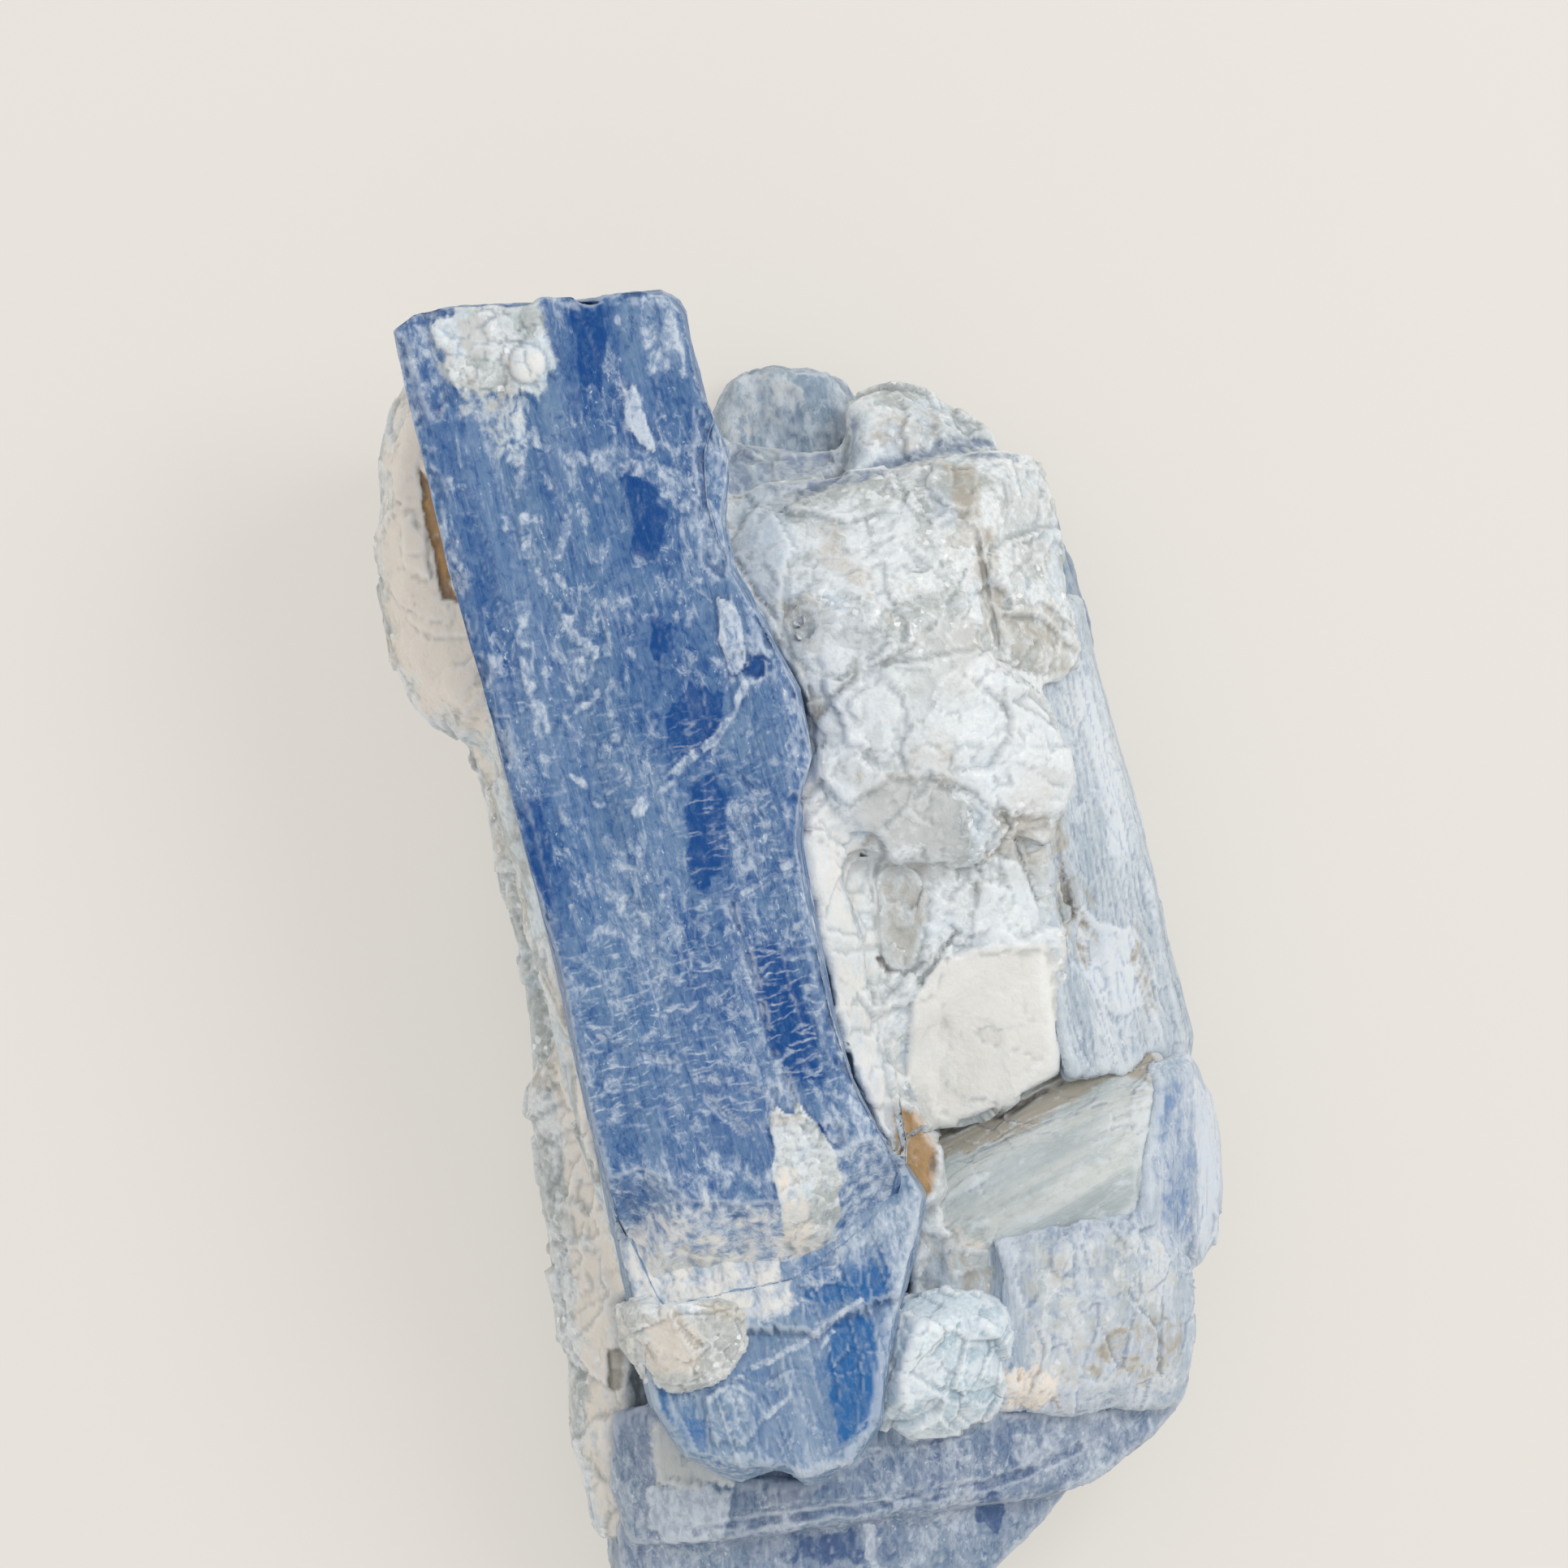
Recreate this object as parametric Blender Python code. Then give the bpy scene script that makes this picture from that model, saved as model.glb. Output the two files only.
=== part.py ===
"""A kyanite specimen: blue kyanite blades grown together with white quartz, lying on its back.

+X runs to the right across the blades, +Y towards the upper end, +Z up from the surface that the
specimen lies on. Lengths are in millimetres here, and become metres where a mesh is made.
"""

import math
import random

import bmesh
import bpy
from mathutils import Vector

MM = 0.001

# Heights above the table
FRONT_FACE = 35.0        # broad face of the large blue blade
SECOND_FACE = 28.0       # broad face of the blade under it
RIGHT_FACE = 21.0        # inner side of the blade along the right, which slopes away
REAR_FACE = 8.8          # broad face of the blades along the back
MIDDLE_FOOT = 9.8        # underside of what grew on the rear blades
BLADE_THICKNESS = 9.0

# How kyanite blades are stepped and broken
RISER = 0.4              # width of the steep face between two lengthwise strips
RIGHT_FALL = 0.62        # how far the right blade's face drops per millimetre to the right
SIDE_BULGE = 0.5         # how far the edge of a blade stands out between its broad faces
END_STEP = 1.6           # how far apart neighbouring strips may end
END_SHARE = 0.6          # and the most of the last stretch's length that this may take

# How pieces fit
CLEARANCE = 0.32         # how far a neighbour's copy is grown before it is cut away
SHARPEST = 2.2           # limit on how much further a sharp corner moves than a flat face
VOLUME_SLACK = 1.0       # cubic millimetres by which a Boolean's result may be off
LUMP_FOOT_INSET = 1.5    # how far a lump draws in at its underside
POCKET_DRAFT = 0.15      # how much smaller a pocket is at its floor, as a share

KYANITE_BLUE = (0.10, 0.22, 0.52, 1.0)
KYANITE_PALE = (0.42, 0.52, 0.66, 1.0)
KYANITE_GREY = (0.50, 0.53, 0.50, 1.0)
QUARTZ_WHITE = (0.82, 0.83, 0.82, 1.0)
QUARTZ_CREAM = (0.74, 0.68, 0.58, 1.0)


def finish(name, colour, roughness):
    """A plain material of one mineral."""
    made = bpy.data.materials.new(name)
    made.use_nodes = True
    shader = made.node_tree.nodes["Principled BSDF"]
    shader.inputs["Base Color"].default_value = colour
    shader.inputs["Roughness"].default_value = roughness
    shader.inputs["Metallic"].default_value = 0.0
    return made


def mesh_object(name, bm):
    """The object called name, holding bm, with its faces pointing out."""
    bmesh.ops.recalc_face_normals(bm, faces=bm.faces)
    mesh = bpy.data.meshes.new(name)
    bm.to_mesh(mesh)
    bm.free()
    made = bpy.data.objects.new(name, mesh)
    bpy.context.scene.collection.objects.link(made)
    return made


def swell(bm, amount):
    """Moves every face of bm out by amount."""
    bmesh.ops.recalc_face_normals(bm, faces=bm.faces)
    moved = [v.co + v.normal * amount * MM * min(v.calc_shell_factor(), SHARPEST) for v in bm.verts]
    for vertex, place in zip(bm.verts, moved):
        vertex.co = place


def strip_heights(stations, strips, step, rng):
    """For each strip its height at every station: level stretches joined by small steps."""
    heights = []
    for _ in range(strips):
        level = rng.uniform(-step, step)
        row = []
        for _ in range(stations):
            if rng.random() < 0.25:
                level = rng.uniform(-step, step)
            row.append(level)
        heights.append(row)
    return heights


def blade(left_edge, right_edge, front, ridges, thickness=BLADE_THICKNESS, fall=0.0, step=0.25,
          seed=1, grow=0.0):
    """A kyanite blade, a lath whose broad faces are split lengthwise into strips.

    left_edge and right_edge are matching points (x, y) from the lower end to the upper one, front
    is the height of the front face, ridges are the shares of the width where strips meet, and fall
    is how far the front drops per millimetre to the right. With grow, the blade is a plain lath
    that holds every strip and stands out by that much more.
    """
    rng = random.Random(seed)
    strips, last = len(ridges) + 1, len(left_edge) - 1
    tops = strip_heights(last + 1, strips, step, rng)
    dents = strip_heights(last + 1, strips, step, rng)
    ragged = [rng.random() for _ in range(strips)]
    if grow:
        tops = [[step] * (last + 1)] * strips
        dents = [[0.0] * (last + 1)] * strips
        ragged = [0.0] * strips
    lefts, rights = ([Vector((*p, 0.0)) for p in edge] for edge in (left_edge, right_edge))
    bm = bmesh.new()
    rings = []
    for s, (left, right) in enumerate(zip(lefts, rights)):
        across = (right - left).normalized()
        width = (right - left).length
        inward = Vector((0.0, 0.0, 0.0))
        room = 0.0
        if s in (0, last):
            near = 1 if s == 0 else last - 1
            inward = Vector((-across.y, across.x, 0.0)) * (1 if s == 0 else -1)
            short = min((lefts[near] - left).length, (rights[near] - right).length)
            room = min(END_STEP, END_SHARE * short)
        walls = [SIDE_BULGE - grow]
        for share in ridges:
            walls += [width * share - RISER / 2, width * share + RISER / 2]
        walls.append(width - SIDE_BULGE + grow)
        upper, lower = [], []
        for k, u in enumerate(walls):
            place = left + across * u + inward * (room * ragged[k // 2] - grow)
            upper.append((place, front + grow - fall * u + tops[k // 2][s]))
            lower.append((place, front - thickness - grow + abs(dents[k // 2][s]) * (k // 2 % 2)))
        heel = left - across * grow - inward * grow
        tip = right + across * grow - inward * grow
        middle = front - thickness / 2
        ring = [*upper, (tip, middle - fall * width / 2), *reversed(lower), (heel, middle)]
        rings.append([bm.verts.new((p.x * MM, p.y * MM, z * MM)) for p, z in ring])
    for below, above in zip(rings, rings[1:]):
        for i in range(len(below)):
            j = (i + 1) % len(below)
            bm.faces.new((below[i], below[j], above[j], above[i]))
    for ring in (rings[0], rings[-1]):
        hub = bm.verts.new(sum((v.co for v in ring), Vector()) / len(ring))
        for i in range(len(ring)):
            bm.faces.new((ring[i], ring[(i + 1) % len(ring)], hub))
    return mesh_object("blade", bm)


def lump(rim, foot, inset=2.0, crown=1.5, seed=1, grow=0.0):
    """A lump with flat faces: the hull of a rim, of a smaller crown above it and of a foot.

    rim is a list of (x, y, height of the rim there), foot the height of the underside, crown how
    far the top stands above the rim, and inset how far the top draws in. grow moves every face
    out by that much.
    """
    rng = random.Random(seed)
    centre = sum((Vector(p[:2]) for p in rim), Vector((0.0, 0.0))) / len(rim)
    bm = bmesh.new()
    for x, y, z in rim:
        point = Vector((x, y))
        inward = (centre - point).normalized()
        reach = (centre - point).length
        bm.verts.new(Vector((x, y, z)) * MM)
        top = point + inward * min(inset, reach * 0.8) * rng.uniform(0.7, 1.3)
        bm.verts.new(Vector((*top, z + crown * rng.uniform(0.5, 1.0))) * MM)
        low = point + inward * min(LUMP_FOOT_INSET, reach * 0.6)
        bm.verts.new(Vector((*low, foot)) * MM)
    hull = bmesh.ops.convex_hull(bm, input=bm.verts)
    inside = [v for v in hull["geom_interior"] if isinstance(v, bmesh.types.BMVert)]
    bmesh.ops.delete(bm, geom=inside, context="VERTS")
    swell(bm, grow)
    return mesh_object("lump", bm)


def pocket(rim, floor, top):
    """A solid to cut a shallow pocket with: the outline rim from floor up to top."""
    centre = sum((Vector(p) for p in rim), Vector((0.0, 0.0))) / len(rim)
    bm = bmesh.new()
    low = [Vector(p).lerp(centre, POCKET_DRAFT) for p in rim]
    lower = [bm.verts.new(Vector((*p, floor)) * MM) for p in low]
    upper = [bm.verts.new(Vector((*p, top)) * MM) for p in rim]
    bm.faces.new(lower)
    bm.faces.new(upper)
    for i in range(len(rim)):
        j = (i + 1) % len(rim)
        bm.faces.new((lower[i], lower[j], upper[j], upper[i]))
    return mesh_object("pocket", bm)


def held_volume(mesh):
    """The volume inside a mesh, in cubic millimetres."""
    bm = bmesh.new()
    bm.from_mesh(mesh)
    held = bm.calc_volume(signed=True) / MM ** 3
    bm.free()
    return held


def combine(target, other, operation):
    """Changes target's mesh by a Boolean with other, a union or a difference.

    The solver is EXACT, and MANIFOLD where EXACT loses more of the target than it can.
    """
    before, cut = held_volume(target.data), held_volume(other.data)
    least = max(before, cut) if operation == "UNION" else before - cut
    for solver in ("EXACT", "MANIFOLD"):
        modifier = target.modifiers.new(operation, "BOOLEAN")
        modifier.operation = operation
        modifier.solver = solver
        modifier.object = other
        graph = bpy.context.evaluated_depsgraph_get()
        graph.update()
        result = bpy.data.meshes.new_from_object(target.evaluated_get(graph))
        target.modifiers.clear()
        if held_volume(result) > least - VOLUME_SLACK:
            break
    target.data = result


def overlaps(a, b):
    """Whether the boxes of two objects meet."""
    for axis in range(3):
        mine = [v.co[axis] for v in a.data.vertices]
        theirs = [v.co[axis] for v in b.data.vertices]
        if max(mine) < min(theirs) or max(theirs) < min(mine):
            return False
    return True


def islands(bm):
    """The connected groups of faces in bm."""
    left = set(bm.faces)
    groups = []
    while left:
        group, front = set(), [left.pop()]
        while front:
            face = front.pop()
            group.add(face)
            for edge in face.edges:
                for near in edge.link_faces:
                    if near in left:
                        left.remove(near)
                        front.append(near)
        groups.append(group)
    return groups


def volume(faces):
    """Six times the volume that a closed group of triangles holds."""
    return sum(f.verts[0].co.dot(f.verts[1].co.cross(f.verts[2].co)) for f in faces)


def keep_main_body(obj):
    """Drops the loose crumbs that cutting leaves, and keeps the largest body."""
    bm = bmesh.new()
    bm.from_mesh(obj.data)
    bmesh.ops.remove_doubles(bm, verts=bm.verts, dist=0.002 * MM)
    bmesh.ops.triangulate(bm, faces=bm.faces)
    groups = islands(bm)
    main = max(groups, key=volume)
    crumbs = [face for group in groups if group is not main for face in group]
    bmesh.ops.delete(bm, geom=crumbs, context="FACES")
    bm.to_mesh(obj.data)
    bm.free()


def joined(name, pieces):
    """One solid called name, the union of pieces that grew into each other."""
    first = pieces[0]
    for piece in pieces[1:]:
        combine(first, piece, "UNION")
        bpy.data.objects.remove(piece)
    first.name = name
    return first


def front_blade(grow):
    """The large blue blade that lies across the front."""
    left_edge = [
        (-9.6, -25.0), (-11.2, -21.8), (-12.8, -18.3), (-13.8, -14.9), (-14.9, -10.8),
        (-16.0, -6.1), (-16.8, -1.8), (-17.8, 2.6), (-19.0, 6.4), (-20.1, 9.5), (-21.1, 13.9),
        (-22.4, 18.2), (-23.5, 22.3), (-24.6, 26.4), (-25.6, 30.4), (-26.6, 34.5), (-27.6, 38.6),
        (-28.6, 42.6), (-29.6, 47.3), (-30.2, 50.6), (-28.6, 52.0),
    ]
    right_edge = [
        (1.2, -22.5), (5.2, -20.0), (8.4, -16.9), (9.0, -14.2), (7.4, -10.8), (5.4, -6.8),
        (4.0, -2.4), (2.9, 2.6), (2.0, 6.7), (1.3, 10.8), (1.4, 14.2), (2.3, 17.3), (1.2, 22.6),
        (-1.5, 27.9), (-3.8, 31.9), (-4.6, 35.8), (-4.1, 39.6), (-4.9, 43.2), (-6.4, 46.7),
        (-7.4, 51.4), (-8.6, 53.4),
    ]
    return [blade(left_edge, right_edge, FRONT_FACE, (0.12, 0.3, 0.47, 0.64, 0.8, 0.93),
                  seed=11, grow=grow)]


def front_pockets():
    """Where flakes have sprung off the front blade's face."""
    window = [(-12.3, 39.4), (-10.6, 39.1), (-9.8, 36.0), (-9.0, 33.3), (-10.4, 32.9), (-11.6, 35.0)]
    chipped_edge = [
        (-4.0, 43.6), (-3.0, 39.5), (-3.4, 35.8), (-3.0, 31.6), (-5.0, 32.8), (-6.2, 37.0),
        (-6.4, 41.0), (-5.6, 43.8),
    ]
    lower_flake = [
        (-3.0, 23.1), (3.0, 21.5), (3.2, 13.0), (2.2, 7.6), (-4.1, 5.8), (-7.2, 7.0),
        (-7.5, 15.6), (-5.2, 18.8),
    ]
    top = FRONT_FACE + 2.0
    return [
        pocket(window, FRONT_FACE - 0.7, top),
        pocket(chipped_edge, FRONT_FACE - 1.3, top),
        pocket(lower_flake, FRONT_FACE - 0.5, top),
    ]


def second_blade(grow):
    """The blade under the large one, whose rounded lower end shows."""
    left_edge = [
        (-3.4, -38.2), (-7.8, -35.9), (-10.2, -32.2), (-11.2, -28.0), (-11.9, -23.9),
        (-12.8, -19.6), (-14.0, -14.2), (-15.7, -5.5), (-17.2, 3.9), (-19.8, 13.2), (-21.6, 20.8),
    ]
    right_edge = [
        (2.1, -38.4), (5.4, -36.5), (7.4, -33.5), (7.9, -29.9), (8.5, -25.8), (9.9, -20.8),
        (10.8, -16.2), (3.0, -5.5), (-0.4, 3.9), (-2.4, 13.2), (-4.5, 21.6),
    ]
    return [blade(left_edge, right_edge, SECOND_FACE, (0.3, 0.58, 0.8), seed=5, grow=grow)]


def cross_blade(grow):
    """The smooth grey-green blade that crosses the lower right."""
    rim = [
        (11.2, -11.6, 15.5), (15.2, -9.9, 15.0), (19.6, -7.0, 15.0), (22.7, -4.9, 15.5),
        (26.0, -4.2, 16.0), (29.3, -5.9, 16.5), (28.3, -9.0, 19.5), (27.2, -14.0, 21.0),
        (26.6, -17.8, 21.0), (19.0, -19.2, 21.5), (12.6, -21.2, 21.5), (11.6, -17.0, 20.5),
    ]
    return [lump(rim, MIDDLE_FOOT, inset=3.0, crown=0.9, seed=3, grow=grow)]


def lower_right_blade(grow):
    """The upright blade with the blue stripe, and the rough kyanite that it grew into below."""
    upright = [
        (26.9, -7.8, 18.5), (28.5, -6.2, 18.0), (31.2, -5.6, 16.0), (33.0, -8.8, 14.0),
        (33.6, -12.0, 13.5), (33.8, -16.0, 13.5), (33.4, -19.9, 13.5), (32.0, -21.6, 14.5),
        (28.0, -22.6, 18.5), (26.6, -18.5, 20.0),
    ]
    rough = [
        (15.5, -19.8, 21.0), (19.6, -18.9, 21.5), (26.8, -17.6, 21.0), (31.4, -21.4, 18.0),
        (31.6, -27.0, 17.5), (31.2, -30.4, 17.5), (30.6, -32.2, 17.0), (21.5, -33.2, 20.0),
        (16.0, -32.4, 21.0),
    ]
    return [
        lump(upright, MIDDLE_FOOT, inset=1.8, crown=1.6, seed=4, grow=grow),
        lump(rough, MIDDLE_FOOT, inset=3.0, crown=2.2, seed=8, grow=grow),
    ]


def white_crystal(grow):
    """The bright clear quartz crystal between the lower blades."""
    rim = [
        (8.6, -24.6, 24.0), (11.8, -23.8, 23.0), (14.4, -24.1, 22.5), (17.4, -25.6, 22.0),
        (18.0, -30.8, 21.5), (15.6, -33.4, 21.5), (10.2, -34.8, 22.5), (7.4, -33.6, 23.5),
        (7.8, -28.4, 24.5),
    ]
    return [lump(rim, 12.0, inset=2.2, crown=2.6, seed=6, grow=grow)]


def right_blade(grow):
    """The striped blade along the right side, which slopes away to the right."""
    left_edge = [
        (21.8, -8.3), (20.9, -3.6), (20.1, 2.6), (19.8, 8.2), (19.0, 13.2), (17.4, 19.5),
        (15.9, 25.8), (15.3, 29.8),
    ]
    right_edge = [
        (31.0, -7.9), (31.5, -3.9), (29.9, 1.4), (28.6, 7.6), (27.2, 13.2), (25.4, 19.5),
        (23.8, 25.4), (22.8, 29.8),
    ]
    return [blade(left_edge, right_edge, RIGHT_FACE, (0.2, 0.42, 0.6, 0.8),
                  thickness=RIGHT_FACE - MIDDLE_FOOT, fall=RIGHT_FALL, step=0.4, seed=21, grow=grow)]


def base_blades(grow):
    """The two slabs at the foot of the specimen, grown into each other."""
    upper = [
        (-13.0, -33.5, 19.0), (0.0, -30.8, 21.0), (16.5, -30.8, 20.0), (30.6, -32.2, 15.0),
        (28.9, -32.8, 15.0), (28.8, -34.6, 14.8), (26.5, -35.8, 15.2), (24.0, -38.4, 15.6),
        (21.0, -39.4, 16.0), (13.0, -40.2, 18.5), (4.0, -41.6, 19.0), (-6.0, -43.0, 18.5),
        (-11.8, -43.2, 16.5), (-13.2, -39.0, 16.5),
    ]
    lower = [
        (-12.8, -42.0, 15.0), (-5.4, -42.0, 16.0), (8.0, -40.4, 16.5), (22.0, -38.9, 13.5),
        (20.2, -41.2, 13.5), (16.4, -42.7, 14.0), (14.2, -43.6, 14.0), (13.2, -47.0, 14.0),
        (10.8, -51.0, 13.5), (4.0, -53.0, 14.0), (-5.4, -53.0, 14.0), (-10.4, -50.8, 13.0),
        (-12.4, -46.4, 13.5),
    ]
    return [
        lump(upper, MIDDLE_FOOT, inset=1.2, crown=0.8, seed=9, grow=grow),
        lump(lower, MIDDLE_FOOT, inset=1.2, crown=0.9, seed=10, grow=grow),
    ]


def rear_blades(grow):
    """The three blades along the back, which the specimen lies on."""
    left = [
        [(-6.6, -53.0), (-10.4, -51.8), (-12.8, -48.6), (-13.4, -43.0), (-14.2, -37.4),
         (-15.2, -30.5), (-15.9, -24.2), (-16.8, -16.8), (-17.9, -10.5), (-18.9, -4.2),
         (-19.8, 2.0), (-20.5, 8.2), (-21.1, 12.6), (-19.8, 15.8)],
        [(7.8, -53.0), (10.2, -51.4), (12.1, -48.0), (12.1, -43.0), (11.5, -36.8),
         (10.2, -30.5), (9.0, -24.2), (7.4, -16.8), (5.9, -10.5), (4.6, -4.2),
         (3.4, 2.0), (2.1, 8.2), (1.2, 12.6), (-2.9, 16.4)],
    ]
    middle = [
        [(11.5, -43.0), (7.8, -38.0), (4.0, -26.8), (1.2, -13.0), (-1.0, 0.8), (-3.2, 14.5),
         (-4.8, 27.0), (-5.4, 38.2), (-5.5, 43.9), (-3.8, 46.9), (-1.0, 47.7)],
        [(19.6, -41.8), (20.2, -36.8), (19.0, -26.8), (16.8, -13.0), (14.3, 0.8), (11.8, 14.5),
         (9.6, 27.0), (7.4, 38.2), (6.1, 44.2), (4.3, 46.6), (1.8, 47.8)],
    ]
    right = [
        [(22.5, -18.0), (15.9, -14.2), (14.3, -5.5), (12.1, 3.9), (9.9, 13.2), (7.8, 22.6),
         (6.2, 30.8), (5.9, 37.0), (8.4, 39.5)],
        [(31.5, -18.0), (32.6, -13.0), (31.4, -5.5), (29.3, 3.9), (27.0, 13.2), (24.6, 22.6),
         (22.8, 30.1), (21.0, 35.8), (19.0, 38.9)],
    ]
    ridges = (0.25, 0.5, 0.75)
    return [
        blade(*left, REAR_FACE, ridges, thickness=REAR_FACE, seed=31, grow=grow),
        blade(*middle, REAR_FACE, ridges, thickness=REAR_FACE, seed=41, grow=grow),
        blade(*right, REAR_FACE, ridges, thickness=REAR_FACE, seed=51, grow=grow),
    ]


def quartz_lower_lump(grow):
    """The cream lump on the lower end of the large blade."""
    rim = [
        (-13.0, -24.6, 28.5), (-8.0, -23.6, 29.5), (-2.9, -24.8, 29.5), (-3.2, -27.6, 29.0),
        (-5.2, -30.6, 28.5), (-8.6, -31.9, 28.0), (-11.2, -30.2, 27.5), (-12.6, -27.4, 27.5),
    ]
    return [lump(rim, 20.0, inset=1.6, crown=1.8, seed=14, grow=grow)]


def quartz_matrix(grow):
    """The quartz that holds the blades: lumps grown into one mass, which fills between them."""
    behind_blade = [
        (-25.0, 45.6, 20.0), (-7.5, 46.5, 20.0), (1.0, 19.0, 22.0), (7.0, -14.5, 22.0),
        (-1.5, -24.0, 20.0), (-12.0, -24.0, 19.0), (-18.2, -2.5, 19.0), (-21.6, 13.0, 19.0),
        (-23.4, 22.0, 19.0),
    ]
    left_lobe = [
        (-29.1, 46.7, 17.0), (-30.4, 44.5, 16.5), (-31.2, 40.8, 17.0), (-31.4, 35.8, 17.0),
        (-31.0, 29.5, 17.0), (-29.8, 24.5, 17.0), (-27.9, 21.4, 17.0), (-24.4, 18.8, 18.0),
        (-20.0, 20.5, 21.0), (-21.0, 38.0, 22.0), (-25.0, 46.5, 19.0),
    ]
    left_strip = [
        (-23.8, 20.5, 17.0), (-23.9, 16.7, 17.0), (-22.3, 14.2, 17.0), (-21.2, 13.0, 17.0),
        (-17.0, 15.0, 19.0), (-18.0, 23.0, 19.0),
    ]
    upper_mass = [
        (-6.4, 35.4, 22.5), (-1.7, 38.4, 20.0), (7.0, 39.7, 19.0), (14.4, 40.4, 19.5),
        (14.8, 28.0, 25.0), (14.0, 23.0, 26.0), (7.0, 19.2, 27.0), (0.8, 19.2, 26.0),
        (-2.9, 26.7, 25.5), (-5.4, 31.7, 24.5),
    ]
    corner = [
        (8.0, 39.5, 20.5), (15.6, 41.3, 18.5), (19.2, 40.6, 16.5), (20.6, 38.6, 16.5),
        (21.2, 34.2, 17.0), (22.4, 28.0, 17.5), (23.0, 24.2, 18.0), (19.6, 23.2, 20.5),
        (15.2, 25.4, 23.5), (12.0, 28.0, 24.0),
    ]
    bright_flake = [
        (-1.6, 24.2, 26.0), (7.0, 26.2, 27.0), (15.2, 25.4, 26.0), (20.8, 21.0, 24.0),
        (22.4, 16.0, 23.0), (20.6, 12.4, 23.0), (12.0, 9.4, 24.5), (3.4, 10.4, 26.0),
        (0.8, 15.4, 26.5),
    ]
    grey_hollow = [
        (0.0, 15.6, 23.0), (12.0, 15.6, 23.0), (18.5, 11.4, 22.0), (20.8, 3.4, 20.5),
        (13.4, 0.2, 20.5), (8.4, -3.2, 21.0), (7.0, -6.0, 21.5), (3.2, 0.6, 22.5),
    ]
    smooth_facet = [
        (8.4, 0.6, 20.0), (13.0, 2.2, 20.4), (20.2, 3.4, 20.6), (21.6, -3.4, 20.2),
        (24.2, -3.6, 19.6), (24.0, -5.2, 19.4), (21.4, -6.6, 19.4), (15.4, -10.2, 19.2),
        (10.4, -11.4, 19.2), (8.2, -8.4, 19.6),
    ]
    ridge = [
        (-0.2, 15.6, 28.0), (2.6, 14.0, 26.5), (5.5, 4.8, 25.5), (8.0, -6.4, 24.5),
        (9.2, -13.4, 24.0), (9.0, -16.0, 25.0), (5.0, -13.0, 28.5), (2.6, -4.5, 29.0),
        (0.6, 8.0, 29.0),
    ]
    back_fill = [
        (-8.0, 42.0, 12.0), (14.0, 40.0, 12.0), (24.0, 14.0, 12.0), (27.0, -8.0, 13.0),
        (20.0, -30.0, 13.0), (-6.0, -40.0, 13.0), (-13.0, -36.0, 12.0), (-20.0, -2.0, 12.0),
        (-24.0, 20.0, 12.0),
    ]
    top_lump = [
        (5.2, 44.9, 12.0), (8.4, 46.0, 11.0), (11.2, 45.8, 10.5), (13.6, 44.2, 11.0),
        (16.0, 42.0, 11.0), (14.0, 37.0, 15.0), (5.0, 37.5, 15.0),
    ]
    left_edge = [
        (-19.7, -8.4, 11.5), (-18.6, -5.0, 12.5), (-16.4, -8.0, 14.5), (-14.0, -17.0, 15.5),
        (-12.2, -28.0, 16.0), (-11.6, -37.0, 15.0), (-12.4, -43.5, 13.0), (-14.3, -43.5, 11.5),
        (-15.8, -36.0, 11.5), (-17.2, -26.0, 11.5), (-18.2, -18.5, 11.5), (-19.4, -12.0, 11.0),
    ]
    foot_lump = [
        (-12.6, -35.6, 17.5), (-5.6, -37.0, 19.5), (-5.0, -41.2, 19.0), (-7.2, -43.4, 17.5),
        (-11.8, -42.8, 16.0),
    ]
    return [
        lump(behind_blade, 7.0, inset=2.0, crown=4.5, seed=1, grow=grow),
        lump(left_lobe, 9.0, inset=2.4, crown=5.0, seed=2, grow=grow),
        lump(left_strip, 10.0, inset=1.2, crown=2.0, seed=3, grow=grow),
        lump(upper_mass, 6.0, inset=3.0, crown=2.4, seed=4, grow=grow),
        lump(corner, 6.5, inset=2.4, crown=2.2, seed=5, grow=grow),
        lump(bright_flake, 8.0, inset=3.0, crown=1.8, seed=6, grow=grow),
        lump(grey_hollow, 8.0, inset=2.0, crown=0.8, seed=7, grow=grow),
        lump(smooth_facet, 8.0, inset=0.8, crown=0.5, seed=8, grow=grow),
        lump(ridge, 12.0, inset=1.2, crown=1.4, seed=9, grow=grow),
        lump(back_fill, 2.2, inset=3.0, crown=2.0, seed=10, grow=grow),
        lump(top_lump, 4.0, inset=1.6, crown=2.2, seed=12, grow=grow),
        lump(left_edge, 6.5, inset=1.0, crown=1.4, seed=13, grow=grow),
        lump(foot_lump, 10.0, inset=1.2, crown=1.2, seed=15, grow=grow),
    ]


def quartz_pockets():
    """Where the quartz has broken away in hollows."""
    pit = [(0.4, 29.6), (2.0, 29.0), (2.4, 26.8), (1.0, 25.6), (-0.2, 27.4)]
    grey_window = [(6.6, 10.4), (10.8, 9.6), (11.2, 5.6), (10.6, 2.0), (8.4, 1.2), (7.2, 2.8)]
    corner_groove = [
        (14.6, 35.4), (15.8, 35.2), (16.4, 28.6), (17.6, 25.0), (16.2, 24.8), (15.0, 28.4),
    ]
    return [
        pocket(pit, 23.6, 40.0),
        pocket(grey_window, 20.8, 40.0),
        pocket(corner_groove, 20.6, 40.0),
    ]


def right_pockets():
    """The dark pits beside the right blade's ledge."""
    upper = [(20.6, 9.2), (21.9, 9.0), (22.6, 5.4), (21.8, 4.0), (20.8, 5.6)]
    lower = [(22.4, 5.6), (23.6, 5.0), (24.4, 1.6), (23.2, 1.0), (22.4, 3.0)]
    return [pocket(upper, 16.5, 30.0), pocket(lower, 15.5, 30.0)]


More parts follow.
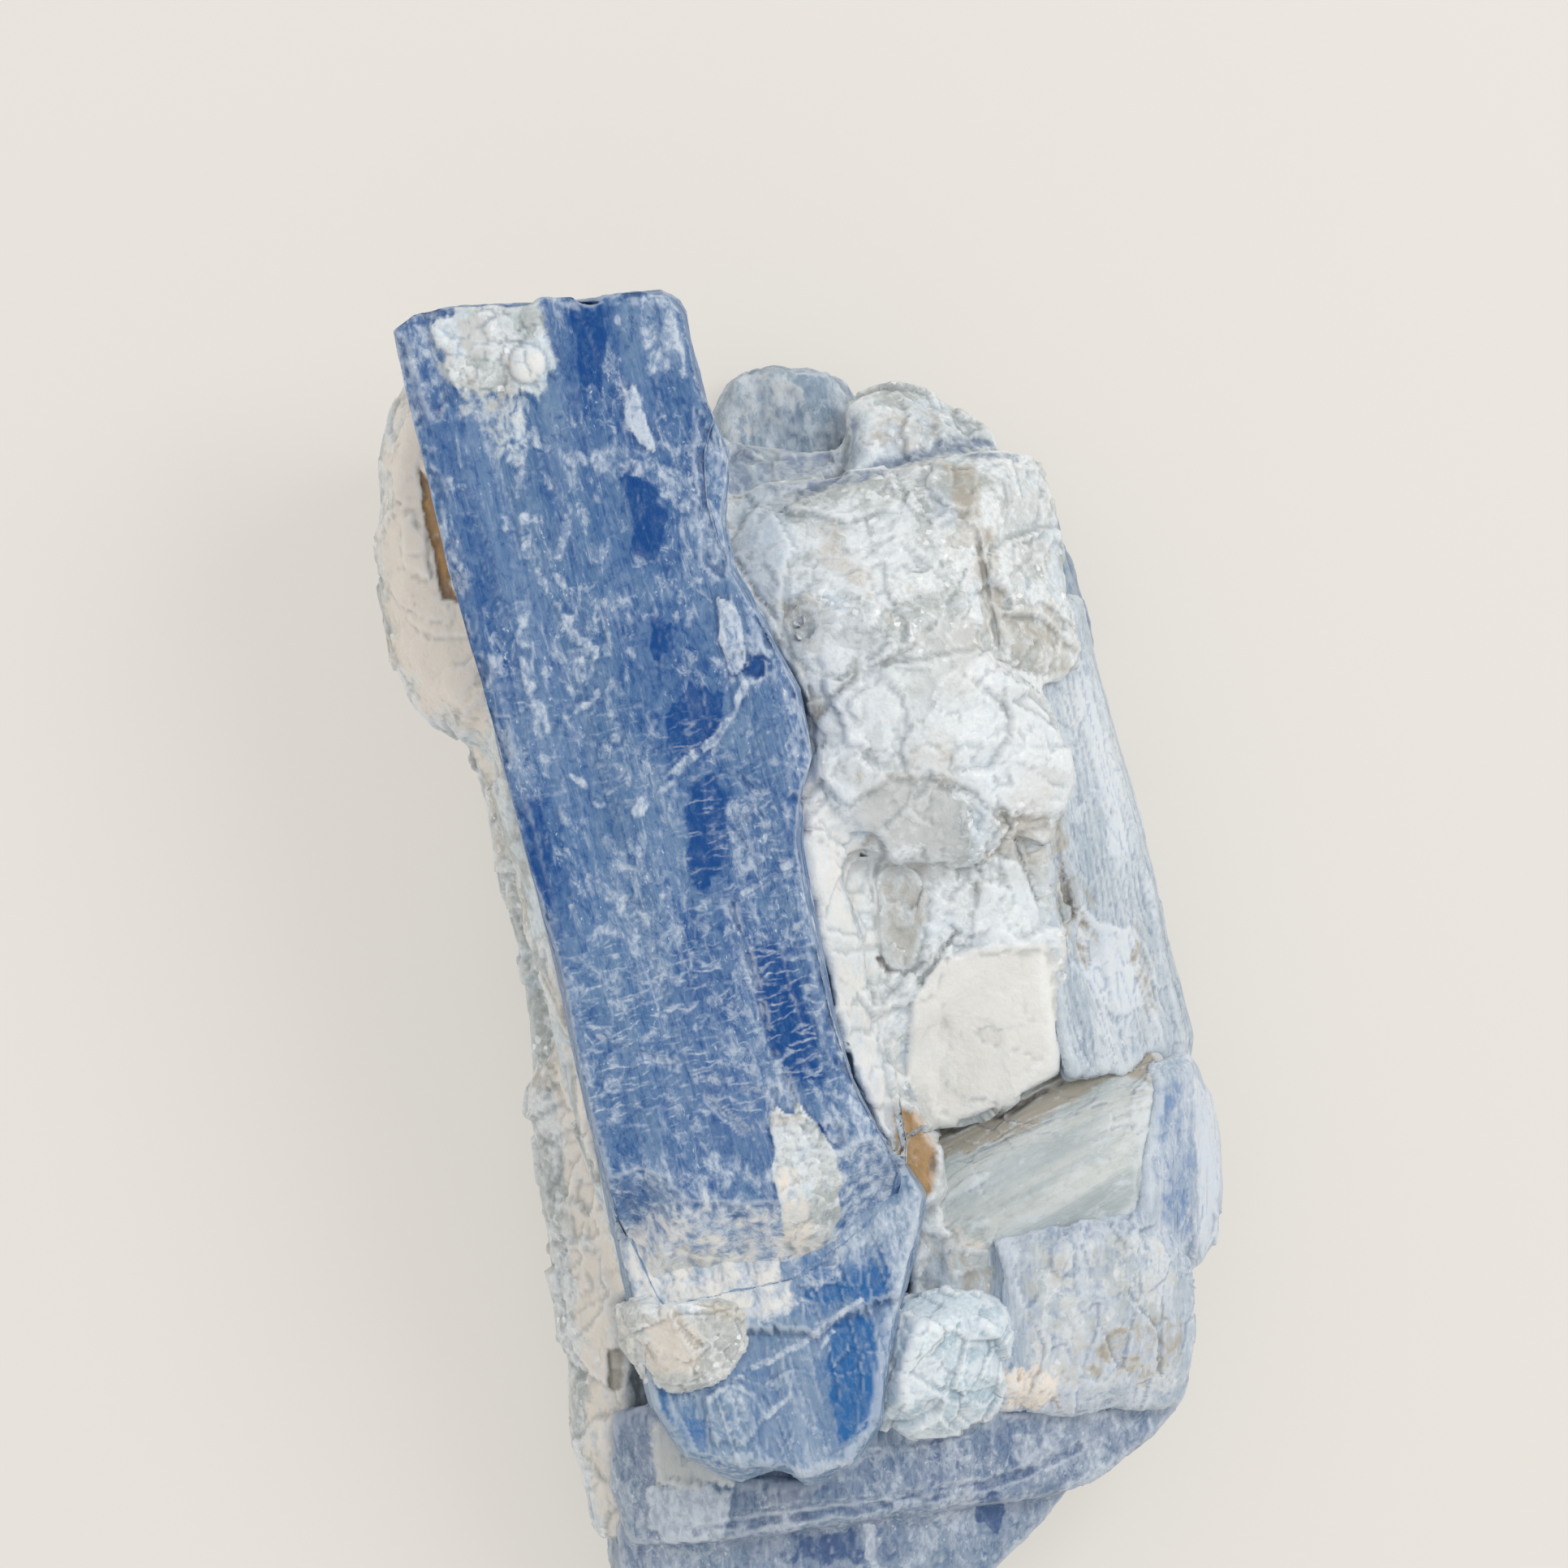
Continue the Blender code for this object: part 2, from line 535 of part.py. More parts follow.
# Each crystal's node, its pieces, the pockets in it and its mineral. A crystal is cut where an
# earlier one already stands, so the quartz, which grew last, fills what the blades leave.
CRYSTALS = [
    ("kyanite_front_blade", front_blade, front_pockets, "kyanite_blue"),
    ("kyanite_second_blade", second_blade, None, "kyanite_blue"),
    ("kyanite_cross_blade", cross_blade, None, "kyanite_grey"),
    ("kyanite_lower_right_blade", lower_right_blade, None, "kyanite_pale"),
    ("quartz_white_crystal", white_crystal, None, "quartz_white"),
    ("kyanite_right_blade", right_blade, right_pockets, "kyanite_pale"),
    ("kyanite_base_blades", base_blades, None, "kyanite_pale"),
    ("kyanite_rear_blades", rear_blades, None, "kyanite_pale"),
    ("quartz_lower_lump", quartz_lower_lump, None, "quartz_cream"),
    ("quartz_matrix", quartz_matrix, quartz_pockets, "quartz_white"),
]


def centre(crystals):
    """Moves all crystals together so that the middle of their outline is at X = Y = 0."""
    for axis in (0, 1):
        places = [v.co[axis] for c in crystals for v in c.data.vertices]
        middle = (min(places) + max(places)) / 2
        for crystal in crystals:
            for vertex in crystal.data.vertices:
                vertex.co[axis] -= middle


def build():
    """Makes every crystal in the order that they grew, and cuts each one to fit the others."""
    for old in list(bpy.data.objects):
        bpy.data.objects.remove(old)
    finishes = {
        "kyanite_blue": finish("kyanite_blue", KYANITE_BLUE, 0.35),
        "kyanite_pale": finish("kyanite_pale", KYANITE_PALE, 0.45),
        "kyanite_grey": finish("kyanite_grey", KYANITE_GREY, 0.40),
        "quartz_white": finish("quartz_white", QUARTZ_WHITE, 0.30),
        "quartz_cream": finish("quartz_cream", QUARTZ_CREAM, 0.45),
    }
    crystals = []
    cutters = []
    for name, pieces, pockets, mineral in CRYSTALS:
        crystal = joined(name, pieces(0.0))
        for cutter in cutters:
            if overlaps(crystal, cutter):
                combine(crystal, cutter, "DIFFERENCE")
        for hollow in pockets() if pockets else ():
            combine(crystal, hollow, "DIFFERENCE")
            bpy.data.objects.remove(hollow)
        cutters += pieces(CLEARANCE)
        keep_main_body(crystal)
        crystal.data.materials.clear()
        crystal.data.materials.append(finishes[mineral])
        crystals.append(crystal)
    for cutter in cutters:
        bpy.data.objects.remove(cutter)
    centre(crystals)


build()
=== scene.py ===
# %% [markdown]
# # A kyanite specimen
#
# Thick blue kyanite blades grown together with white quartz. The specimen lies on its flat
# back, and the camera looks straight down on it, as the photograph looks at its front.
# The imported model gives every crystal's place and size. This script gives each crystal its
# broken, striped and frosted surface, and the colours of the two minerals.

import math

import bpy
import numpy as np
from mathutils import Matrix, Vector


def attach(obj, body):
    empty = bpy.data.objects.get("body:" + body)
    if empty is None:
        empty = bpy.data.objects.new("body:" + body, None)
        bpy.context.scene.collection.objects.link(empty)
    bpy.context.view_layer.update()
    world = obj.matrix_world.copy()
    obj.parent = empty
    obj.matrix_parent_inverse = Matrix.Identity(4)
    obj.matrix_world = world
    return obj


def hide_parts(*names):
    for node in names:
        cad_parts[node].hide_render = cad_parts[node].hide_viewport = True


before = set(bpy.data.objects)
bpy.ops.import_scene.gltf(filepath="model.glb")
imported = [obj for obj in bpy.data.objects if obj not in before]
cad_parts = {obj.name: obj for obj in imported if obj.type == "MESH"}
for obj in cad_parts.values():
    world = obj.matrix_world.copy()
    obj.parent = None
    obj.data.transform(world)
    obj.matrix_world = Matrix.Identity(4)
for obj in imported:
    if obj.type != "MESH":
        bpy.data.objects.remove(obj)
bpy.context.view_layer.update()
print("crystals:", ", ".join(sorted(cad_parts)))

# %% [markdown]
# ## Camera
#
# A specimen is photographed from far away with a long lens, so that near and far crystals keep
# their true sizes. The camera stands straight above, and the picture is 1932 pixels square,
# 16 pixels to the millimetre.

# %% Aim the camera
MM = 0.001
PICTURE = 1932
PIXELS_PER_MM = 16.0
PICTURE_MIDDLE = (-1.2, 15.2)        # mm, the point of the frame at the middle of the picture
CAMERA_HEIGHT = 1500.0               # mm above the table
SHARP_HEIGHT = 26.0                  # mm, the height where the picture's scale holds


def add_camera():
    """A long lens that looks straight down, with the specimen's length upright in the picture."""
    data = bpy.data.cameras.new("camera")
    data.sensor_width = 36.0
    data.sensor_fit = "HORIZONTAL"
    data.lens = data.sensor_width * (CAMERA_HEIGHT - SHARP_HEIGHT) / (PICTURE / PIXELS_PER_MM)
    data.clip_start, data.clip_end = 0.1, 10.0
    camera = bpy.data.objects.new("camera", data)
    camera.location = Vector((*PICTURE_MIDDLE, CAMERA_HEIGHT)) * MM
    bpy.context.scene.collection.objects.link(camera)
    bpy.context.scene.camera = camera
    return camera


camera = add_camera()
print(f"lens {camera.data.lens:.0f} mm, picture {PICTURE / PIXELS_PER_MM:.1f} mm wide")

# %% [markdown]
# ## Light and table
#
# The light is that of a bright white tent: even from all sides, with one larger soft source
# from the upper right that gives the ledges their faint shading. The table is a plain cream,
# and glows a little, as a light table does. That keeps the shadow round the stone faint.

# %% Set the light and the table
bpy.context.scene.view_settings.view_transform = "Standard"
SKY = (1.0, 0.985, 0.96, 1.0)
SKY_STRENGTH = 0.74
TABLE_HALF = 1.5                     # m
TABLE_CREAM = (0.36, 0.35, 0.335, 1.0)
TABLE_GLOW = (0.46, 0.44, 0.405, 1.0)


def add_sky():
    """An even soft light from everywhere."""
    world = bpy.data.worlds.new("tent")
    world.use_nodes = True
    background = world.node_tree.nodes["Background"]
    background.inputs["Color"].default_value = SKY
    background.inputs["Strength"].default_value = SKY_STRENGTH
    bpy.context.scene.world = world


def add_softbox(name, place, size, power):
    """A square soft light at place (mm), which faces the specimen."""
    data = bpy.data.lights.new(name, "AREA")
    data.shape = "SQUARE"
    data.size = size * MM
    data.energy = power
    lamp = bpy.data.objects.new(name, data)
    lamp.location = Vector(place) * MM
    lamp.rotation_euler = (-lamp.location).to_track_quat("-Z", "Y").to_euler()
    bpy.context.scene.collection.objects.link(lamp)
    return lamp


def add_table():
    """The plain cream surface that the specimen lies on."""
    mesh = bpy.data.meshes.new("table")
    half = TABLE_HALF
    mesh.from_pydata([(-half, -half, 0), (half, -half, 0), (half, half, 0), (-half, half, 0)], [],
                     [(0, 1, 2, 3)])
    table = bpy.data.objects.new("table", mesh)
    bpy.context.scene.collection.objects.link(table)
    paint = bpy.data.materials.new("table_cream")
    paint.use_nodes = True
    shader = paint.node_tree.nodes["Principled BSDF"]
    shader.inputs["Base Color"].default_value = TABLE_CREAM
    shader.inputs["Emission Color"].default_value = TABLE_GLOW
    shader.inputs["Emission Strength"].default_value = 1.0
    shader.inputs["Roughness"].default_value = 0.9
    mesh.materials.append(paint)
    return table


add_sky()
key = add_softbox("key_light", (380.0, 300.0, 620.0), 340.0, 1.9)
table = add_table()
print("sky strength", SKY_STRENGTH, "and key light", key.data.energy, "W")

# %% [markdown]
# ## Noise
#
# Broken stone has detail at every size, so most shapes below start from noise: smooth random
# values on a lattice, summed at several sizes.

# %% Noise on points
def lattice_value(cell, seed):
    """A repeatable random number from 0 to 1 for each whole-number cell."""
    x, y, z = (cell[:, i].astype(np.int64) for i in range(3))
    mixed = (x * 73856093) ^ (y * 19349663) ^ (z * 83492791) ^ (seed * 2654435761)
    mixed &= 0xFFFFFFFF
    mixed = ((mixed ^ (mixed >> 15)) * 2246822519) & 0xFFFFFFFF
    mixed = ((mixed ^ (mixed >> 13)) * 3266489917) & 0xFFFFFFFF
    return ((mixed ^ (mixed >> 16)) & 0xFFFFFFFF) / 0xFFFFFFFF


def noise(points, size, seed):
    """Smooth noise from -1 to 1 whose lumps are size across; size may differ along each axis."""
    scaled = points / np.asarray(size, dtype=float)
    base = np.floor(scaled)
    part = scaled - base
    ease = part * part * (3 - 2 * part)
    total = np.zeros(len(points))
    for corner in np.ndindex(2, 2, 2):
        share = np.ones(len(points))
        for axis in range(3):
            share *= ease[:, axis] if corner[axis] else 1 - ease[:, axis]
        total += share * lattice_value(base + np.array(corner), seed)
    return total * 2 - 1


def rough(points, size, octaves, seed):
    """Noise summed at several sizes, each half of the one before."""
    total, weight = np.zeros(len(points)), 0.0
    for k in range(octaves):
        total += noise(points, np.asarray(size, dtype=float) / 2 ** k, seed + k) / 2 ** k
        weight += 1 / 2 ** k
    return total / weight


def grains(points, size, seed):
    """Cells round scattered centres, as in a crumbly or flaky break.

    Returns (distance to the nearest centre in cell widths, the gap to the next nearest, and the
    level of the cell's own tilted facet, from about -1 to 1).
    """
    scaled = points / np.asarray(size, dtype=float)
    base = np.floor(scaled)
    nearest, second = np.full((2, len(points)), 9.0)
    level = np.zeros(len(points))
    for offset in np.ndindex(3, 3, 3):
        cell = base + np.array(offset) - 1
        dice = [lattice_value(cell, seed + i) for i in range(7)]
        away = scaled - cell - np.stack(dice[:3], axis=1)
        distance = np.sqrt((away ** 2).sum(axis=1))
        facet = dice[3] - 0.5 + sum(away[:, i] * (dice[4 + i] - 0.5) * 2.2 for i in range(3))
        closer = distance < nearest
        second = np.where(closer, nearest, np.minimum(second, distance))
        level = np.where(closer, facet, level)
        nearest = np.where(closer, distance, nearest)
    return nearest, second - nearest, level


def hackly(points, size, octaves, seed):
    """Noise with sharp crests, 0 in the hollows and 1 on the crests."""
    total, weight = np.zeros(len(points)), 0.0
    for k in range(octaves):
        crest = 1 - np.abs(noise(points, np.asarray(size, dtype=float) / 2 ** k, seed + k))
        total += crest ** 2 / 2 ** k
        weight += 1 / 2 ** k
    return total / weight


def stairs(values, riser):
    """Turns a smooth slope into level steps one apart, with risers that take that share."""
    level = np.floor(values)
    return level + ease_between(1 - riser, 1.0, values - level)


def ease_between(low, high, values):
    """0 below low, 1 above high, and a smooth rise between them."""
    t = np.clip((values - low) / (high - low), 0.0, 1.0)
    return t * t * (3 - 2 * t)


# %% [markdown]
# ## Placing features
#
# Ledges, cracks and patches that the eye picks out are given as outlines and lines
# seen from above, in pixels of the picture. Everything else is left to noise.

# %% Distances to outlines and lines
FAR = 99.0                           # mm, further than any two points of the specimen matter


def seen(places):
    """Where picture pixels lie in the frame, in mm."""
    middle = PICTURE / 2
    return [((x - middle) / PIXELS_PER_MM + PICTURE_MIDDLE[0],
             (middle - y) / PIXELS_PER_MM + PICTURE_MIDDLE[1]) for x, y in places]


def segment_distance(points, start, end):
    """How far each (x, y) lies from the line between start and end, and the share along it."""
    start, end = np.asarray(start, dtype=float), np.asarray(end, dtype=float)
    run = end - start
    share = np.clip(((points - start) @ run) / (run @ run), 0.0, 1.0)
    return np.linalg.norm(points - start - share[:, None] * run, axis=1), share


def line_mask(points, line, width):
    """1 on the line through the given places, falling to 0 half a width to either side."""
    nearest = np.full(len(points), FAR)
    for start, end in zip(line, line[1:]):
        nearest = np.minimum(nearest, segment_distance(points, start, end)[0])
    return 1 - ease_between(0.15 * width, 0.5 * width, nearest)


def outline_depth(points, outline):
    """How deep each (x, y) lies inside a closed outline: negative outside."""
    nearest = np.full(len(points), FAR)
    inside = np.zeros(len(points), dtype=bool)
    for (x0, y0), (x1, y1) in zip(outline, outline[1:] + outline[:1]):
        nearest = np.minimum(nearest, segment_distance(points, (x0, y0), (x1, y1))[0])
        crosses = (y0 > points[:, 1]) != (y1 > points[:, 1])
        slope = (x1 - x0) / (y1 - y0) if y1 != y0 else 0.0
        inside ^= crosses & (points[:, 0] < x0 + slope * (points[:, 1] - y0))
    return np.where(inside, nearest, -nearest)


def patch_mask(points, outline, soft):
    """1 inside an outline and 0 outside, with an edge that is soft wide."""
    return ease_between(-soft / 2, soft / 2, outline_depth(points, outline))


def wobble(points, amount, size, seed):
    """Points (x, y, z) moved about by noise, so that straight outlines come out ragged."""
    moved = points.copy()
    for axis in range(2):
        moved[:, axis] += amount * rough(points, size, 3, seed + 10 * axis)
    return moved


# %% [markdown]
# ## Dense copies
#
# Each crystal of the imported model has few, large faces. A piece that carries fine relief needs
# many small ones of even size. A voxel remesh gives them, with the form unchanged, and it never
# leaves a hole. Faces that look down are thinned again, because little of them is ever seen.

# %% Make a dense copy of a crystal
DOWNWARD = -0.3                      # a face looks down where its normal's Z is below this
COARSE = 1.3                         # cells of the closing steps, in cells of the finished copy


def vertex_normals(mesh):
    """The direction that each point of a mesh faces."""
    flat = np.empty(len(mesh.vertices) * 3)
    mesh.vertex_normals.foreach_get("vector", flat)
    return flat.reshape(-1, 3)


def apply_modifiers(piece):
    """Replaces a piece's mesh by what its modifiers make of it."""
    graph = bpy.context.evaluated_depsgraph_get()
    made = bpy.data.meshes.new_from_object(piece.evaluated_get(graph))
    old = piece.data
    piece.modifiers.clear()
    piece.data = made
    bpy.data.meshes.remove(old)


def thin_underside(piece, faces):
    """Merges small faces that look down, until about that many faces are left."""
    mesh = piece.data
    down = np.flatnonzero(vertex_normals(mesh)[:, 2] < DOWNWARD)
    piece.vertex_groups.new(name="underside").add(down.tolist(), 1.0, "REPLACE")
    thin = piece.modifiers.new("thin", "DECIMATE")
    thin.vertex_group = "underside"
    thin.ratio = faces / (2 * len(mesh.polygons))
    apply_modifiers(piece)
    piece.vertex_groups.clear()


def add_remesh(piece, cell):
    """Adds the step that remakes a piece in faces about cell mm wide."""
    remesh = piece.modifiers.new("remesh", "REMESH")
    remesh.mode = "VOXEL"
    remesh.voxel_size = cell * MM


def add_displace(piece, amount):
    """Adds the step that moves every face of a piece out by amount, in mm."""
    displace = piece.modifiers.new("displace", "DISPLACE")
    displace.mid_level = 0.0
    displace.strength = amount * MM


def dense_copy(node, cell, faces=None, swell=0.0, close=0.0):
    """A new piece with the form of a CAD node, in triangles about cell mm wide.

    It is moved out by swell. Slits in it that are narrower than twice close are filled.
    """
    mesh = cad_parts[node].data.copy()
    mesh.materials.clear()
    piece = bpy.data.objects.new(node + "_surface", mesh)
    bpy.context.scene.collection.objects.link(piece)
    weld = piece.modifiers.new("weld", "WELD")
    weld.merge_threshold = 0.01 * MM
    if close:
        add_remesh(piece, COARSE * cell)
        add_displace(piece, close)
        add_remesh(piece, COARSE * cell)
        add_displace(piece, -close)
    add_remesh(piece, cell)
    add_displace(piece, swell)
    apply_modifiers(piece)
    if faces:
        thin_underside(piece, faces)
    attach(piece, "root")
    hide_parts(node)
    return piece


# %% [markdown]
# ## A skin to carve and paint
#
# The points of a dense copy are moved and painted together, so a ledge and the white frost on
# its edge always fall in the same place. The paint is a set of masks, one number per point,
# which the materials below turn into colour.

# %% Hold a piece's points and masks
MASKS = ("deep", "blue", "frost", "hatch", "quartz", "cream", "grey", "dun", "shell", "stain",
         "amber", "umber", "smooth", "wear", "pit")


class Skin:
    """The points of a dense piece in mm, how far they are moved, and what they are painted.

    lean is the angle of the grain in degrees. splinter is how far outlines are drawn out along it.
    """

    def __init__(self, piece, lean=0.0, splinter=0.0):
        mesh = piece.data
        count = len(mesh.vertices)
        self.piece = piece
        flat = np.empty(count * 3)
        mesh.vertices.foreach_get("co", flat)
        self.points = flat.reshape(-1, 3) / MM
        self.normals = vertex_normals(mesh)
        self.up = ease_between(0.1, 0.55, self.normals[:, 2])
        self.push = np.zeros(count)
        self.lift = np.zeros(count)
        self.masks = {name: np.zeros(count) for name in MASKS}
        turn = math.radians(lean)
        across = self.points[:, 0] * math.cos(turn) + self.points[:, 1] * math.sin(turn)
        along = self.points[:, 1] * math.cos(turn) - self.points[:, 0] * math.sin(turn)
        self.grain = np.stack([across, along, self.points[:, 2]], axis=1)
        self.direction = np.array([-math.sin(turn), math.cos(turn)])
        self.splinter = splinter

    def paint(self, name, values):
        """Raises a mask to the values where they are more than it holds."""
        self.masks[name] = np.maximum(self.masks[name], np.clip(values, 0.0, 1.0))


# %% [markdown]
# A listed feature is a patch inside an outline, or a crack along a line. It can sink or
# raise the surface, paint any of the masks, or both, and its border is torn by noise.

# %% Describe patches and cracks
def patch(at, **mark):
    """A mark that fills the outline at."""
    return {"at": at, **mark}


def crack(at, width=0.3, level=-0.25, **masks):
    """A mark that is a crack along the line at."""
    return {"at": at, "width": width, "level": level, "ragged": 0.22, "size": 1.1, **masks}


# %% Lay marks on a skin
RAGGED = 0.35                        # mm that an outline wanders, if its mark says nothing
WANDER = 1.6                         # mm, the size of the bends in an outline
SOFT = 0.35                          # mm that a patch takes to fade out


def mark_shape(skin, near, mark, number, seed):
    """How much of a mark each of the near points carries, from 0 to 1."""
    outline = seen(mark["at"])
    moved = wobble(skin.points[near], mark.get("ragged", RAGGED), mark.get("size", WANDER),
                   seed + 31 * number)
    if "width" in mark:
        mask = line_mask(moved[:, :2], outline, mark["width"])
        if not mark.get("whole"):
            mask *= ease_between(-0.45, 0.1, noise(skin.points[near], 1.1, seed + 7))
        return mask
    split = rough(skin.grain[near], (0.5, 3.0, 0.5), 3, seed + 31 * number + 5)
    moved[:, :2] += (skin.splinter * split)[:, None] * skin.direction
    return patch_mask(moved[:, :2], outline, mark.get("soft", SOFT))


def lay(skin, marks, seed):
    """Adds marks, each with a level in mm and masks.

    With rise_to, what lies lower than that height is raised to it, walls too unless tops_only is
    set. With swell, walls are moved out by that much.
    """
    flat = skin.points[:, :2]
    for number, mark in enumerate(marks):
        places = np.array(seen(mark["at"]))
        reach = 2.0 + mark.get("width", 0.0)
        low, high = places.min(axis=0) - reach, places.max(axis=0) + reach
        walls_too = ("rise_to" in mark or "swell" in mark) and not mark.get("tops_only")
        facing = skin.normals[:, 2] > DOWNWARD if walls_too else skin.up > 0
        near = np.flatnonzero(np.all((flat > low) & (flat < high), axis=1) & facing)
        if not len(near):
            continue
        mask = mark_shape(skin, near, mark, number, seed)
        if not walls_too:
            mask = mask * skin.up[near]
        skin.lift[near] += mark.get("level", 0.0) * mask
        height = skin.points[near, 2] + skin.lift[near]
        skin.lift[near] += mask * np.maximum(mark.get("rise_to", 0.0) - height, 0.0)
        skin.push[near] += mask * mark.get("swell", 0.0) * (1 - skin.up[near])
        for name in MASKS:
            if name in mark:
                skin.masks[name][near] = np.maximum(skin.masks[name][near], mask * mark[name])


# %% [markdown]
# When all is laid, the points are moved. Then the mesh itself says where crests and pits are: a
# crest stands out from the average of its neighbours, and a pit lies below it.

# %% Settle a skin
CALM = 0.88                          # share of its roughness that a smooth place loses
LEAST_PAINT = 0.02                   # a mask that is weaker than this everywhere is left out


def bend(skin, rounds=2):
    """How far each point stands out (above 0) or in (below 0) among its neighbours, in mm."""
    mesh = skin.piece.data
    pairs = np.empty(len(mesh.edges) * 2, dtype=np.int32)
    mesh.edges.foreach_get("vertices", pairs)
    a, b = pairs.reshape(-1, 2).T
    count = np.bincount(pairs, minlength=len(skin.points))
    middle = skin.points
    for _ in range(rounds):
        middle = np.stack([np.bincount(a, middle[b, i], len(count))
                           + np.bincount(b, middle[a, i], len(count)) for i in range(3)],
                          axis=1) / count[:, None]
    return ((skin.points - middle) * vertex_normals(mesh)).sum(axis=1)


def settle(skin, sharp):
    """Moves the mesh's points, finds its crests and pits, and writes the masks on it.

    sharp is how many mm a point stands out where a crest counts as worn white.
    """
    calm = 1 - CALM * skin.masks["smooth"]
    skin.points = skin.points + skin.normals * (skin.push * calm)[:, None]
    skin.points[:, 2] = np.maximum(skin.points[:, 2] + skin.lift, 0.0)
    mesh = skin.piece.data
    mesh.vertices.foreach_set("co", (skin.points * MM).ravel())
    mesh.update()
    stands_out = bend(skin)
    skin.paint("wear", ease_between(0.15 * sharp, sharp, stands_out))
    # The pit mask marks hollows, which the materials darken as painted shade.
    skin.paint("pit", ease_between(0.15 * sharp, sharp, -stands_out))
    for name, values in skin.masks.items():
        if values.max() > LEAST_PAINT:
            layer = mesh.attributes.new(name, "FLOAT", "POINT")
            layer.data.foreach_set("value", values.astype(np.float32))
    mesh.polygons.foreach_set("use_smooth", [True] * len(mesh.polygons))
    mesh.update()
    faces = sum(len(p.vertices) - 2 for p in mesh.polygons)
    moved = np.abs(skin.push).max() + np.abs(skin.lift).max()
    print(f"{skin.piece.name}: {faces} triangles, moved by up to {moved:.2f} mm")


# %% [markdown]
# ## Shader groups
#
# Both minerals share a few effects: lengthwise streaks, frosty veins, cross cracks, clouds and
# worn edges. Each is a node group, built once, and every material sets its sizes.

# %% Helpers for shader nodes
def tone(red, green, blue):
    """A colour as it looks on a screen, 0 to 255, as the linear numbers that shaders use."""
    linear = [c / 255 / 12.92 if c <= 10 else ((c / 255 + 0.055) / 1.055) ** 2.4
              for c in (red, green, blue)]
    return (*linear, 1.0)


def put(tree, kind, inputs=None, **settings):
    """Adds a shader node with its settings, and sets or links its inputs by name or place."""
    made = tree.nodes.new("ShaderNode" + kind)
    for key, value in settings.items():
        setattr(made, key, value)
    for key, value in (inputs or {}).items():
        if isinstance(value, bpy.types.NodeSocket):
            tree.links.new(value, made.inputs[key])
        else:
            made.inputs[key].default_value = value
    return made


def calc(tree, operation, a, b=0.0, clamp=False):
    """The result of a Math node."""
    return put(tree, "Math", {0: a, 1: b}, operation=operation, use_clamp=clamp).outputs[0]


def span(tree, value, low, high, start=0.0, end=1.0):
    """A value eased from low..high to start..end."""
    return put(tree, "MapRange", {"Value": value, 1: low, 2: high, 3: start, 4: end},
               interpolation_type="SMOOTHSTEP").outputs[0]


def blend(tree, share, a, b, mode="MIX"):
    """Colour a turned into colour b by share."""
    return put(tree, "Mix", {0: share, 6: a, 7: b}, data_type="RGBA", blend_type=mode).outputs[2]


def stretched(tree, vector, across, along):
    """Coordinates whose unit is across mm wide and along mm long."""
    scale = (1 / across, 1 / along, 1 / across)
    return put(tree, "VectorMath", {0: vector, 1: scale}, operation="MULTIPLY").outputs[0]


def cloud(tree, vector, scale=1.0, detail=3.0, distortion=0.0, roughness=0.5):
    """The value of a noise texture."""
    return put(tree, "TexNoise", {"Vector": vector, "Scale": scale, "Detail": detail,
                                  "Distortion": distortion, "Roughness": roughness}).outputs[0]


def new_group(name, inputs, outputs):
    """An empty shader group. inputs and outputs map socket names to kinds or start values."""
    tree = bpy.data.node_groups.new(name, "ShaderNodeTree")
    kinds = {"vector": "NodeSocketVector", "colour": "NodeSocketColor", "value": "NodeSocketFloat"}
    for socket, (kind, start) in inputs.items():
        made = tree.interface.new_socket(socket, in_out="INPUT", socket_type=kinds[kind])
        if start is not None:
            made.default_value = start
    for socket, kind in outputs.items():
        tree.interface.new_socket(socket, in_out="OUTPUT", socket_type=kinds[kind])
    given = tree.nodes.new("NodeGroupInput").outputs
    asked = tree.nodes.new("NodeGroupOutput").inputs
    return tree, given, asked


def use_group(tree, group, inputs):
    """Places a group in a material and returns its outputs."""
    made = tree.nodes.new("ShaderNodeGroup")
    made.node_tree = group
    for key, value in inputs.items():
        if isinstance(value, bpy.types.NodeSocket):
            tree.links.new(value, made.inputs[key])
        else:
            made.inputs[key].default_value = value
    return made.outputs


# %% [markdown]
# Kyanite grows in fibres along the blade. Colour follows them: bands that end at a seam, broad
# soft streaks, and fibres a fifth of a millimetre wide. All are noise with stretched coordinates.

